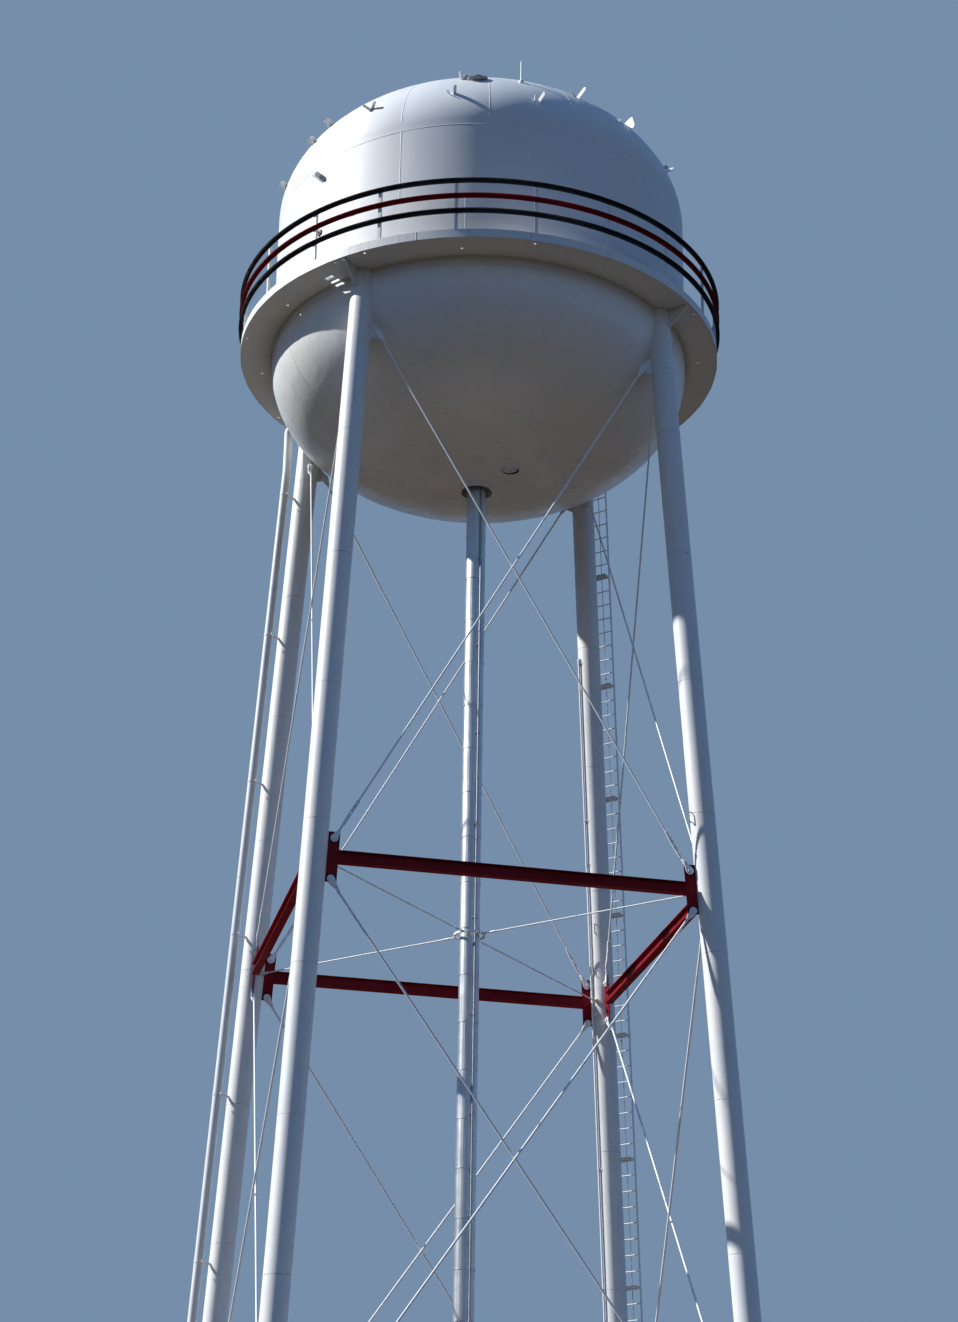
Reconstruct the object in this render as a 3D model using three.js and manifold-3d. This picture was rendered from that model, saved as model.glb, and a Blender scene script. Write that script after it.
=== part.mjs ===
// A four-legged elevated water tower: an ellipsoidal steel tank with a railed balcony,
// battered pipe columns, horizontal struts, crossed tie rods and a central riser.
// Millimetres, +Z up. The origin is on the ground, on the tower's vertical axis.
// The front face looks toward -Y and the right face toward +X.
import * as THREE from 'three';
import { mergeVertices } from 'three/addons/utils/BufferGeometryUtils.js';
import Module from 'manifold-3d';

const wasm = await Module();
wasm.setup();

// Layout: GAP is the clearance between neighbouring pieces, CUT how far a cutter runs past a face.
const GAP = 0.3;
const CUT = 5;
const BATTER = 1 / 20;
const FOOT_HALF = 4560;
const PANEL = 10668;
const STRUT_LEVELS = { lower: PANEL, upper: 2 * PANEL };
const TOP_PIN = 3 * PANEL;
const FOOT_PIN = 420;
const FACES = ['front', 'right', 'back', 'left'];
const CORNERS = ['front_left', 'front_right', 'back_right', 'back_left'];
const DIAGONAL = 45;

// Tank
const TANK_RADIUS = 4150;
const TANK_SIDES = 48;
const HEAD_STEPS = 7;
const PLATE = 12;
const KNUCKLE = 33100;
const BOTTOM_DEPTH = 2515;
const EAVE = 36470;
const ROOF_RISE = 2530;
const RISER_HOLE_RADIUS = 150;
const FLAT_RADIUS = 340;
const NOZZLE = { azimuth: -59.9, radius: 190, reach: 966, low: 20, high: 150, sides: 16 };
const WHIP = { azimuth: -90.4, reach: 3584, radius: 22, height: 520, sink: 60, sides: 8 };
const HATCH = { azimuth: -104, reach: 3600, neck: 160, lid: 187, stand: 50, thickness: 14, sink: 80, sides: 16 };

// Balcony
const RING_SIDES = 40;
const FLOOR_UNDERSIDE = 33320;
const FLOOR_THICKNESS = 10;
const EDGE = { inner: 4777, outer: 4785, height: 180 };
const POST = { count: 20, width: 60, thickness: 6, outer: 4779, top: 34586 };
const RAIL = { inner: 4779.3, leg: 76, thickness: 6 };
const RAIL_UNDERSIDES = { top: 34513, middle: 34177, lower: 33845 };
const DRAIN = { radius: 26, sides: 6, places: [[0, 4695], [-17, 4400], [-40, 4695], [-48, 4695], [-71, 4360]] };
const SLOTS = [{ reach: 4350, width: 90 }, { reach: 4205, width: 50 }];
const SLOT = { azimuth: -143.5, length: 200 };
const LADDER_HATCH = { inner: 4190, outer: 4755, left: -600, right: 440 };

// Columns and their lugs: outlines in millimetres from the column's axis and the pin's height
const COLUMN_RADIUS = 225;
const COLUMN_SIDES = 20;
const BASE_PLATE = { width: 640, thickness: 38 };
const BASE_FIN = { width: 600, top: 470, height: 300, thickness: 16 };
const LUG_THICKNESS = 16;
const TOP_LUG = [[120, 390], [420, 62], [446, 0], [424, -62], [120, -150]];
const FOOT_LUG = [[120, 190], [360, 80], [400, 0], [400, 30 - FOOT_PIN], [120, 30 - FOOT_PIN]];
const BRACKET = { drop: 440, toe: 60, heel: 200, root: 100, inset: 15, thickness: 14 };

// Struts and tie rods
const GUSSET = { root: 100, reach: 425, thickness: 16, half: 460 };
const PIN = { reach: 325, above: 334, below: 409, topReach: 381, footReach: 330 };
const STRUT = { depth: 215, width: 150, flange: 12, web: 12, lap: 20 };
const ROD_RADII = { bottom: 22, middle: 20, top: 17 };
const ROD_EYE = { radius: 66, taper: 270, thickness: 46, lap: 30 };
const TURNBUCKLE = { start: 330, end: 800, radius: 36 };
const ROD_SIDES = 6;

// Riser and its ties
const RISER_RADIUS = 187;
const RISER_SIDES = 20;
const RISER_BASE = { radius: 300, height: 40 };
const COLLAR = { outer: 322, inner: 306, height: 105, sides: 24 };
const TIE_RING = { outer: 290, inner: 264, height: 40, sides: 16 };
const TIE = { radius: 13, nutRadius: 20, nutLength: 60, lap: 12 };
const TIE_EYE = { radius: 42, taper: 130, thickness: 28, lap: 20 };
const TIE_LUG = { pin: 265, length: 310, thickness: 14, height: 110 };

// Conduits, ladder and overflow pipe
const CONDUIT = { radius: 22, sides: 8, clipWidth: 60, clipHeight: 40 };
const RISER_CONDUIT = { azimuth: -74, clear: 8, belowCollar: 60, clipReach: 60, first: 1500, step: 5500 };
const COLUMN_CONDUIT = { azimuth: 197.5, clear: 10, top: 28500, clipReach: 80, first: 1500, step: 5200 };
const LADDER = { bottom: 2490, top: 34400, half: 203, reach: 400, shift: 140 };
const LADDER_RAIL = { depth: 60, thickness: 10 };
const RUNG = { spacing: 304.8, radius: 12, sides: 4 };
const LADDER_PLATE = { firstRung: 4, rungs: 8, count: 13, root: 90, lap: 5, thickness: 12 };
const STANDOFF = { first: 3365, last: 31400, spacing: 3115, width: 60, height: 40 };
const OVERFLOW = {
  radius: 84, sides: 12, left: 440, forward: 204, bend: 31950, entry: 32910, inlet: 4000, end: 450,
};
const OUTLET = { reach: 260, side: 60, drop: 260 };
const ELBOW = { fit: 0.98, lap: 20, cap: 67 };

// Materials
const paint = (color, roughness, metalness) =>
  new THREE.MeshStandardMaterial({ color, roughness, metalness, flatShading: true });
const whitePaint = paint(0xdde1e4, 0.45, 0.0);
const redPaint = paint(0x4d0f18, 0.5, 0.0);
const blackPaint = paint(0x14161b, 0.45, 0.0);
const jacketMetal = paint(0x8f9aa5, 0.35, 0.9);

// Geometry helpers
const degrees = THREE.MathUtils.degToRad;
const join = (solids) => solids.reduce((whole, next) => whole.add(next));

function toSolid(geometry) {
  const bare = geometry.clone();
  bare.deleteAttribute('normal');
  bare.deleteAttribute('uv');
  const merged = mergeVertices(bare, 1e-3);
  const corners = merged.index.array;
  const kept = [];
  for (let i = 0; i < corners.length; i += 3) {
    const [a, b, c] = [corners[i], corners[i + 1], corners[i + 2]];
    if (a !== b && b !== c && c !== a) kept.push(a, b, c);
  }
  const mesh = (order) => new wasm.Mesh({
    numProp: 3,
    vertProperties: new Float32Array(merged.attributes.position.array),
    triVerts: new Uint32Array(order),
  });
  const solid = new wasm.Manifold(mesh(kept));
  if (solid.volume() > 0) return solid;
  return new wasm.Manifold(mesh(kept.reverse()));
}

function toGeometry(solid) {
  const { numProp, vertProperties, triVerts } = solid.getMesh();
  const positions = new Float32Array((vertProperties.length / numProp) * 3);
  for (let i = 0; i < positions.length / 3; i += 1) {
    for (let k = 0; k < 3; k += 1) positions[3 * i + k] = vertProperties[numProp * i + k];
  }
  const geometry = new THREE.BufferGeometry();
  geometry.setAttribute('position', new THREE.BufferAttribute(positions, 3));
  geometry.setIndex(new THREE.BufferAttribute(new Uint32Array(triVerts), 1));
  geometry.computeVertexNormals();
  return geometry;
}

function part(name, shape, material) {
  const geometry = shape instanceof THREE.BufferGeometry ? toGeometry(toSolid(shape)) : toGeometry(shape);
  const mesh = new THREE.Mesh(geometry, material);
  mesh.name = name;
  return mesh;
}

function spaced(first, last, step) {
  return Array.from({ length: Math.floor((last - first) / step) + 1 }, (_, i) => first + i * step);
}

function block(width, depth, height, x = 0, y = 0, z = 0) {
  return new THREE.BoxGeometry(width, depth, height).translate(x, y, z);
}

// An upright cylinder round the Z axis, from one height to another.
function upright(radius, bottom, top, sides) {
  const height = top - bottom;
  return new THREE.CylinderGeometry(radius, radius, height, sides)
    .rotateX(Math.PI / 2)
    .translate(0, 0, bottom + height / 2);
}

function rodBetween(from, to, radius, sides) {
  const start = new THREE.Vector3(...from);
  const end = new THREE.Vector3(...to);
  const along = end.clone().sub(start);
  const turn = new THREE.Quaternion().setFromUnitVectors(
    new THREE.Vector3(0, 1, 0), along.clone().normalize());
  return new THREE.CylinderGeometry(radius, radius, along.length(), sides)
    .applyQuaternion(turn)
    .translate(...start.add(end).multiplyScalar(0.5).toArray());
}

// A solid of revolution about Z from a closed outline of [radius, height] pairs.
function turned(outline, sides) {
  const points = [...outline, outline[0]].map(([radius, height]) => new THREE.Vector2(radius, height));
  return new THREE.LatheGeometry(points, sides).rotateX(Math.PI / 2);
}

function tube(outer, inner, bottom, top, sides) {
  return turned([[inner, bottom], [outer, bottom], [outer, top], [inner, top]], sides);
}

// A ring round the balcony. Its radii are to the flats, one of which faces each post.
function balconyRing(outline) {
  const toCorner = 1 / Math.cos(Math.PI / RING_SIDES);
  const corners = outline.map(([radius, height]) => [radius * toCorner, height]);
  return turned(corners, RING_SIDES).rotateZ(Math.PI / RING_SIDES);
}

// A straight bar of the given cross-section, upright, from one height to another.
function extruded(outline, bottom, top) {
  const shape = new THREE.Shape(outline.map(([x, y]) => new THREE.Vector2(x, y)));
  return new THREE.ExtrudeGeometry(shape, { depth: top - bottom, bevelEnabled: false })
    .translate(0, 0, bottom);
}

// A plate standing in the XZ plane, centred on it.
function plateInFace(outline, thickness) {
  return extruded(outline, -thickness / 2, thickness / 2).rotateX(Math.PI / 2);
}

// Moves each point inward with height, as the columns lean: by x and y factors of BATTER.
function leaning(geometry, xFactor, yFactor) {
  const lean = new THREE.Matrix4().set(
    1, 0, xFactor * BATTER, 0,
    0, 1, yFactor * BATTER, 0,
    0, 0, 1, 0,
    0, 0, 0, 1);
  return geometry.applyMatrix4(lean);
}

// The flat drop shape of a forged rod end, its eye on the origin and its tail along +Z.
function dropEnd(eye, tailRadius) {
  const shape = new THREE.Shape();
  const lean = Math.asin((eye.radius - tailRadius) / eye.taper);
  shape.absarc(0, 0, eye.radius, lean, Math.PI - lean, true);
  shape.lineTo(-tailRadius, eye.taper);
  shape.lineTo(tailRadius, eye.taper);
  shape.closePath();
  return new THREE.ExtrudeGeometry(shape, {
    depth: eye.thickness, bevelEnabled: false, curveSegments: 5,
  }).translate(0, 0, -eye.thickness / 2).rotateX(Math.PI / 2);
}

// Tank
const columnOffset = (height) => FOOT_HALF - height * BATTER;

// A quarter ellipse from the given radius near the pole out to the tank's side.
function headCurve(radius, centre, rise, from) {
  const start = Math.acos(from / radius);
  return Array.from({ length: HEAD_STEPS + 1 }, (_, i) => {
    const angle = start * (1 - i / HEAD_STEPS);
    return [radius * Math.cos(angle), centre + rise * Math.sin(angle)];
  });
}

const roofCurve = (inset) => headCurve(TANK_RADIUS - inset, EAVE + GAP, ROOF_RISE - inset, 0);
const bottomCurve = (inset) =>
  headCurve(TANK_RADIUS - inset, KNUCKLE - GAP, inset - BOTTOM_DEPTH, FLAT_RADIUS);
const bottomLip = bottomCurve(0)[0][1];

function tankRoof() {
  const points = [...roofCurve(0), ...roofCurve(PLATE).reverse()].map(([r, z]) => new THREE.Vector2(r, z));
  return new THREE.LatheGeometry(points, TANK_SIDES).rotateX(Math.PI / 2);
}

function tankBottom() {
  const inner = bottomCurve(PLATE);
  const hole = [[RISER_HOLE_RADIUS, inner[0][1]], [RISER_HOLE_RADIUS, bottomLip]];
  const bowl = toSolid(turned([...bottomCurve(0), ...bottomCurve(PLATE).reverse(), ...hole], TANK_SIDES));
  const nozzle = upright(NOZZLE.radius, bottomLip + NOZZLE.low, bottomLip + NOZZLE.high, NOZZLE.sides)
    .translate(NOZZLE.reach, 0, 0)
    .rotateZ(degrees(NOZZLE.azimuth));
  const inside = turned([[0, inner[0][1]], ...inner, [0, KNUCKLE]], TANK_SIDES);
  return bowl.add(toSolid(nozzle).subtract(toSolid(inside)));
}

// The outside of the tank with a clearance, used to cope what meets it.
function tankEnvelope() {
  const outer = bottomCurve(-GAP);
  const side = [[TANK_RADIUS + GAP, EAVE], [0, EAVE]];
  return toSolid(turned([[0, outer[0][1]], ...outer, ...side], TANK_SIDES));
}

// Roof fittings: each stands on the sloping plate and is trimmed to it.
function onRoof(fitting, { azimuth, reach }, tilt) {
  const height = EAVE + ROOF_RISE * Math.sqrt(1 - (reach / TANK_RADIUS) ** 2);
  const placed = fitting.rotateY(tilt).translate(reach, 0, height).rotateZ(degrees(azimuth));
  const outside = roofCurve(-GAP);
  return toSolid(placed).subtract(toSolid(turned([[0, EAVE], ...outside], TANK_SIDES)));
}

function whipAntenna() {
  return onRoof(upright(WHIP.radius, -WHIP.sink, WHIP.height, WHIP.sides), WHIP, 0);
}

function roofHatch() {
  const { reach, neck, lid, stand, thickness, sink, sides } = HATCH;
  const run = TANK_RADIUS * Math.sqrt(TANK_RADIUS ** 2 - reach ** 2);
  const slope = Math.atan((ROOF_RISE * reach) / run);
  const top = stand + thickness;
  const outline = [[0, -sink], [neck, -sink], [neck, stand], [lid, stand], [lid, top], [0, top]];
  return onRoof(turned(outline, sides), HATCH, slope);
}

// Balcony
function balconyFloor() {
  const bottom = FLOOR_UNDERSIDE;
  const top = FLOOR_UNDERSIDE + FLOOR_THICKNESS;
  const rim = EDGE.inner - GAP;
  const cutter = (width, length, reach, side) =>
    block(width, length, FLOOR_THICKNESS + 2 * CUT, reach, side, (bottom + top) / 2);
  const disc = balconyRing([[0, bottom], [rim, bottom], [rim, top], [0, top]]);
  let floor = toSolid(disc).subtract(tankEnvelope());
  for (const face of FACES.keys()) {
    for (const [azimuth, reach] of DRAIN.places) {
      const drain = upright(DRAIN.radius, bottom - CUT, top + CUT, DRAIN.sides)
        .translate(reach, 0, 0)
        .rotateZ(degrees(azimuth + 90 * face));
      floor = floor.subtract(toSolid(drain));
    }
  }
  for (const { reach, width } of SLOTS) {
    const slot = cutter(width, SLOT.length, reach, 0).rotateZ(degrees(SLOT.azimuth));
    floor = floor.subtract(toSolid(slot));
  }
  const { inner, outer, left, right } = LADDER_HATCH;
  const hatch = cutter(outer - inner, right - left, (outer + inner) / 2, -(left + right) / 2)
    .rotateZ(degrees(DIAGONAL));
  return floor.subtract(toSolid(hatch));
}

// The edge plate with its angle posts.
function balconyEdge() {
  const { width, thickness, outer, top, count } = POST;
  const foot = FLOOR_UNDERSIDE + FLOOR_THICKNESS + GAP;
  const rim = FLOOR_UNDERSIDE + EDGE.height;
  const ring = toSolid(balconyRing([
    [EDGE.inner, FLOOR_UNDERSIDE], [EDGE.outer, FLOOR_UNDERSIDE], [EDGE.outer, rim], [EDGE.inner, rim]]));
  const half = width / 2;
  const angle = [
    [outer, -half], [outer, half], [outer - width, half], [outer - width, half - thickness],
    [outer - thickness, half - thickness], [outer - thickness, -half]];
  const post = toSolid(extruded(angle, foot, top));
  const posts = Array.from({ length: count }, (_, i) => post.rotate([0, 0, (360 / count) * i]));
  return join([ring, ...posts]);
}

function railRing(underside) {
  const { inner, leg, thickness } = RAIL;
  const top = underside + leg;
  return balconyRing([
    [inner, underside], [inner + thickness, underside], [inner + thickness, top - thickness],
    [inner + leg, top - thickness], [inner + leg, top], [inner, top]]);
}

// Columns. Each is drawn as the front-left one and turned into its corner.
function columnShaft(radius, bottom, top) {
  return leaning(upright(radius, bottom, top, COLUMN_SIDES).translate(-FOOT_HALF, -FOOT_HALF, 0), 1, 1);
}

// What is cut from the fittings of the column at a corner, counted from the front left.
function columnSkin(corner, bottom = -CUT, top = FLOOR_UNDERSIDE) {
  return toSolid(columnShaft(COLUMN_RADIUS + GAP, bottom, top)).rotate([0, 0, 90 * corner]);
}

function onColumn(geometry, height) {
  return toSolid(leaning(geometry.translate(0, 0, height), 1, 1).translate(-FOOT_HALF, -FOOT_HALF, 0));
}

function columnFoot() {
  const { width, top, height, thickness } = BASE_FIN;
  const outline = [[-width / 2, 0], [width / 2, 0], [top / 2, height], [-top / 2, height]];
  const plate = block(BASE_PLATE.width, BASE_PLATE.width, BASE_PLATE.thickness)
    .translate(-FOOT_HALF, -FOOT_HALF, BASE_PLATE.thickness / 2);
  const fins = [0, 90].map((turn) => plateInFace(outline, thickness)
    .rotateZ(degrees(turn))
    .translate(-FOOT_HALF, -FOOT_HALF, 0));
  return [plate, ...fins].map(toSolid);
}

// Lugs for the tie rods, two at the top and two at the foot, one in each of the column's faces.
function columnLugs() {
  return [0, 90].flatMap((turn) => [[TOP_LUG, TOP_PIN], [FOOT_LUG, FOOT_PIN]].map(([outline, height]) =>
    onColumn(plateInFace(outline, LUG_THICKNESS).rotateZ(degrees(turn)), height)));
}

// The lugs that hold the riser's ties, pointing at the riser.
function riserTieLugs() {
  const { length, thickness, height } = TIE_LUG;
  return Object.values(STRUT_LEVELS).map((level) =>
    onColumn(block(length, thickness, height, length / 2).rotateZ(degrees(DIAGONAL)), level));
}

// The triangular plate that carries the balcony beyond the column.
function balconyBracket() {
  const { drop, toe, heel, root, inset, thickness } = BRACKET;
  const offset = columnOffset(FLOOR_UNDERSIDE);
  const reach = EDGE.outer - inset - Math.SQRT2 * offset;
  const outline = [[-root, -GAP], [-reach, -GAP], [-reach, -toe], [-heel, -drop], [-root, -drop]];
  return toSolid(plateInFace(outline, thickness)
    .rotateZ(degrees(DIAGONAL))
    .translate(-offset, -offset, FLOOR_UNDERSIDE));
}

function column(brackets) {
  const shaft = toSolid(columnShaft(COLUMN_RADIUS, 0, FLOOR_UNDERSIDE - GAP));
  return join([shaft, ...columnFoot(), ...columnLugs(), ...riserTieLugs(), ...brackets])
    .subtract(tankEnvelope());
}

// A strut of the front face: a beam of I section with an upright gusset plate at each end.
function strut(level) {
  const { depth, width, flange, web, lap } = STRUT;
  const { root, reach, thickness, half } = GUSSET;
  const offset = columnOffset(level);
  const [w, d, t] = [width / 2, depth / 2, web / 2];
  const section = [
    [-w, -d], [w, -d], [w, flange - d], [t, flange - d], [t, d - flange], [w, d - flange],
    [w, d], [-w, d], [-w, d - flange], [-t, d - flange], [-t, flange - d], [-w, flange - d]];
  const end = offset - reach + lap;
  let solid = toSolid(extruded(section, -end, end)
    .rotateX(Math.PI / 2)
    .rotateZ(Math.PI / 2)
    .translate(0, -offset, level));
  for (const side of [-1, 1]) {
    const plate = block(reach - root, thickness, 2 * half, (-side * (reach + root)) / 2);
    const placed = leaning(plate, -side, 1).translate(side * offset, -offset, level);
    const skin = columnSkin(side < 0 ? 0 : 1, level - 2 * half, level + 2 * half);
    solid = solid.add(toSolid(placed)).subtract(skin);
  }
  return solid;
}

// A tie rod: one straight rod with a forged eye at each end and a turnbuckle.
function braceRod(length, radius) {
  const overlap = ROD_EYE.taper - ROD_EYE.lap;
  return join([
    dropEnd(ROD_EYE, radius),
    dropEnd(ROD_EYE, radius).rotateX(Math.PI).translate(0, 0, length),
    upright(radius, overlap, length - overlap, ROD_SIDES),
    upright(TURNBUCKLE.radius, TURNBUCKLE.start, TURNBUCKLE.end, ROD_SIDES),
  ].map(toSolid));
}

// The pins that each panel's rods run between: their heights and their reach from the column.
const PANELS = {
  bottom: {
    low: FOOT_PIN, lowReach: PIN.footReach,
    high: STRUT_LEVELS.lower - PIN.below, highReach: PIN.reach,
  },
  middle: {
    low: STRUT_LEVELS.lower + PIN.above, lowReach: PIN.reach,
    high: STRUT_LEVELS.upper - PIN.below, highReach: PIN.reach,
  },
  top: {
    low: STRUT_LEVELS.upper + PIN.above, lowReach: PIN.reach,
    high: TOP_PIN, highReach: PIN.topReach,
  },
};

// The crossed rods of one panel. One passes outside the lugs and the other inside them.
function bracePair(name, face) {
  const { low, lowReach, high, highReach } = PANELS[name];
  const clear = GUSSET.thickness / 2 + ROD_EYE.thickness / 2 + GAP;
  const outward = new THREE.Vector3(0, -1, BATTER).normalize();
  const pair = new THREE.Group();
  for (const [side, letter] of [[-1, 'a'], [1, 'b']]) {
    const start = new THREE.Vector3(side * (columnOffset(low) - lowReach), -columnOffset(low), low);
    const end = new THREE.Vector3(-side * (columnOffset(high) - highReach), -columnOffset(high), high);
    const along = end.clone().sub(start);
    const length = along.length();
    along.normalize();
    const across = new THREE.Vector3().crossVectors(outward, along);
    const rod = part(`brace_${name}_${face}_${letter}`, braceRod(length, ROD_RADII[name]), whitePaint);
    rod.quaternion.setFromRotationMatrix(new THREE.Matrix4().makeBasis(across, outward, along));
    rod.position.copy(start).addScaledVector(outward, -side * clear);
    pair.add(rod);
  }
  return pair;
}

// Riser, its ties and conduits
function riser() {
  const jacket = toSolid(upright(RISER_RADIUS, 0, bottomLip - GAP, RISER_SIDES));
  return jacket.add(toSolid(upright(RISER_BASE.radius, 0, RISER_BASE.height, RISER_SIDES)));
}

function conduit(standoff, bottom, top, { clipReach, first, step }) {
  const clips = spaced(first, top - first, step).map((height) =>
    block(clipReach, CONDUIT.clipWidth, CONDUIT.clipHeight, standoff - clipReach / 2, 0, height));
  const pipe = upright(CONDUIT.radius, bottom, top, CONDUIT.sides).translate(standoff, 0, 0);
  return [pipe, ...clips];
}

function riserConduit() {
  const standoff = RISER_RADIUS + CONDUIT.radius + RISER_CONDUIT.clear;
  const top = bottomLip - COLLAR.height - RISER_CONDUIT.belowCollar;
  const pieces = conduit(standoff, RISER_BASE.height + GAP, top, RISER_CONDUIT);
  return join(pieces.map(toSolid))
    .rotate([0, 0, RISER_CONDUIT.azimuth])
    .subtract(toSolid(upright(RISER_RADIUS + GAP, -CUT, bottomLip, RISER_SIDES)));
}

// A conduit strapped to the back-right column.
function columnConduit() {
  const standoff = COLUMN_RADIUS + CONDUIT.radius + COLUMN_CONDUIT.clear;
  const pieces = conduit(standoff, BASE_PLATE.thickness + GAP, COLUMN_CONDUIT.top, COLUMN_CONDUIT)
    .map((piece) => toSolid(leaning(piece
      .rotateZ(degrees(COLUMN_CONDUIT.azimuth))
      .translate(FOOT_HALF, FOOT_HALF, 0), -1, -1)));
  return join(pieces).subtract(columnSkin(2));
}

// A rod from the tie ring out to a column's lug, lying along +X.
function tieRod(level, start) {
  const end = Math.SQRT2 * columnOffset(level) - TIE_LUG.pin;
  const shaft = rodBetween([start, 0, 0], [end - TIE_EYE.taper + TIE_EYE.lap, 0, 0], TIE.radius, ROD_SIDES);
  const nut = rodBetween([start, 0, 0], [start + TIE.nutLength, 0, 0], TIE.nutRadius, ROD_SIDES);
  const eye = dropEnd(TIE_EYE, TIE.radius).rotateY(-Math.PI / 2).translate(end, 0, 0);
  const beside = TIE_LUG.thickness / 2 + TIE_EYE.thickness / 2 + GAP;
  return join([shaft, nut, eye].map(toSolid)).translate([0, beside, level]);
}

// The ring round the riser at a strut level, with two of its rods, and the two other rods.
function riserTies(levelName) {
  const level = STRUT_LEVELS[levelName];
  const { outer, inner, height, sides } = TIE_RING;
  const ring = toSolid(tube(outer, inner, level - height / 2, level + height / 2, sides)
    .rotateZ(Math.PI / sides));
  const fixed = tieRod(level, outer - TIE.lap);
  const ringWithRods = ring.add(fixed.rotate([0, 0, DIAGONAL - 180])).add(fixed.rotate([0, 0, DIAGONAL]));
  const seated = tieRod(level, outer * Math.cos(Math.PI / sides) + GAP);
  return [
    part(`riser_ring_${levelName}`, ringWithRods, whitePaint),
    part(`riser_tie_${levelName}_front_right`, seated.rotate([0, 0, -DIAGONAL]), whitePaint),
    part(`riser_tie_${levelName}_back_left`, seated.rotate([0, 0, 180 - DIAGONAL]), whitePaint),
  ];
}

// The ladder outside the back-right column, held off it by flat plates at every eighth rung.
// Its own axes: +X outward, -Y to the right.
function ladder() {
  const { bottom, top, half, reach, shift } = LADDER;
  const { firstRung, rungs: every, count, root, lap, thickness } = LADDER_PLATE;
  const [left, right] = [half - shift, -half - shift];
  const rails = [left, right].map((side) => block(
    LADDER_RAIL.depth, LADDER_RAIL.thickness, top - bottom, reach, side, (top + bottom) / 2));
  const rungs = spaced(bottom + RUNG.spacing, top - RUNG.spacing / 2, RUNG.spacing)
    .map((z) => rodBetween([reach, right, z], [reach, left, z], RUNG.radius, RUNG.sides));
  const [inner, outer] = [root, reach + lap];
  const width = left - right - LADDER_RAIL.thickness / 2;
  const plates = Array.from({ length: count }, (_, i) => bottom + RUNG.spacing * (firstRung + i * every))
    .map((z) => block(outer - inner, width, thickness, (outer + inner) / 2, -shift, z));
  const placed = [...rails, ...rungs, ...plates].map((piece) => toSolid(leaning(piece, -Math.SQRT2, 0)
    .translate(Math.SQRT2 * FOOT_HALF, 0, 0)
    .rotateZ(degrees(DIAGONAL))));
  return join(placed).subtract(columnSkin(2));
}

// The overflow pipe beside the back-left column, from the tank's side to an outlet near the ground.
// It stands to the left of the column and a little forward of it.
function overflowPipe() {
  const { radius, sides, left, forward, bend, entry, inlet, end } = OVERFLOW;
  const axis = (height) => [-columnOffset(height) - left, columnOffset(height) - forward, height];
  const [x, y] = axis(bend);
  const [footX, footY] = axis(end);
  const inward = inlet / Math.hypot(x, y);
  const pipes = [
    rodBetween([footX, footY, end - ELBOW.lap], [x, y, bend + ELBOW.lap / 2], radius, sides),
    rodBetween([x, y, bend - ELBOW.lap / 2], [x, y, entry + ELBOW.cap], radius, sides),
    rodBetween([x, y, entry], [x * inward, y * inward, entry], radius * ELBOW.fit, sides),
    rodBetween(
      [footX + ELBOW.lap, footY, end + ELBOW.lap],
      [footX - OUTLET.reach, footY + OUTLET.side, end - OUTLET.drop], radius * ELBOW.fit, sides),
  ];
  const reach = Math.hypot(left, forward);
  const arms = spaced(STANDOFF.first, STANDOFF.last, STANDOFF.spacing).map((height) =>
    block(reach, STANDOFF.width, STANDOFF.height, reach / 2)
      .rotateZ(Math.atan2(forward, left))
      .translate(...axis(height)));
  return join([...pipes, ...arms].map(toSolid)).subtract(columnSkin(3)).subtract(tankEnvelope());
}

// The tower
const tower = new THREE.Group();
tower.name = 'water_tower';

tower.add(part('tank_roof', tankRoof(), whitePaint));
tower.add(part('tank_shell', tube(TANK_RADIUS, TANK_RADIUS - PLATE, KNUCKLE, EAVE, TANK_SIDES), whitePaint));
tower.add(part('tank_bottom', tankBottom(), whitePaint));
tower.add(part('roof_hatch', roofHatch(), blackPaint));
tower.add(part('whip_antenna', whipAntenna(), whitePaint));
tower.add(part('balcony_floor', balconyFloor(), whitePaint));
tower.add(part('balcony_edge', balconyEdge(), whitePaint));
tower.add(part('rail_top', railRing(RAIL_UNDERSIDES.top), blackPaint));
tower.add(part('rail_middle', railRing(RAIL_UNDERSIDES.middle), redPaint));
tower.add(part('rail_lower', railRing(RAIL_UNDERSIDES.lower), blackPaint));

const bracketedColumn = toGeometry(column([balconyBracket()]));
const ladderColumn = toGeometry(column([]));
CORNERS.forEach((corner, i) => {
  const shape = corner === 'back_right' ? ladderColumn : bracketedColumn;
  const mesh = new THREE.Mesh(shape, whitePaint);
  mesh.name = `column_${corner}`;
  mesh.rotation.z = degrees(90 * i);
  tower.add(mesh);
});

FACES.forEach((face, i) => {
  const side = new THREE.Group();
  side.rotation.z = degrees(90 * i);
  for (const level of Object.keys(STRUT_LEVELS)) {
    side.add(part(`strut_${level}_${face}`, strut(STRUT_LEVELS[level]), redPaint));
  }
  for (const panel of Object.keys(PANELS)) side.add(bracePair(panel, face));
  tower.add(side);
});

tower.add(part('riser_pipe', riser(), jacketMetal));
tower.add(part('riser_collar', tube(
  COLLAR.outer, COLLAR.inner, bottomLip - COLLAR.height, bottomLip - GAP, COLLAR.sides), whitePaint));
tower.add(part('riser_conduit', riserConduit(), jacketMetal));
tower.add(...riserTies('upper'), ...riserTies('lower'));
tower.add(part('ladder', ladder(), whitePaint));
tower.add(part('overflow_pipe', overflowPipe(), whitePaint));
tower.add(part('column_conduit', columnConduit(), whitePaint));

export default tower;
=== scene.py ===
"""The look of an elevated water tower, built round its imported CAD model. Metres, +Z up, front toward -Y."""
import math
from itertools import product

import bpy
import numpy as np
from mathutils import Matrix, Vector
from mathutils.geometry import convex_hull_2d


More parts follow.
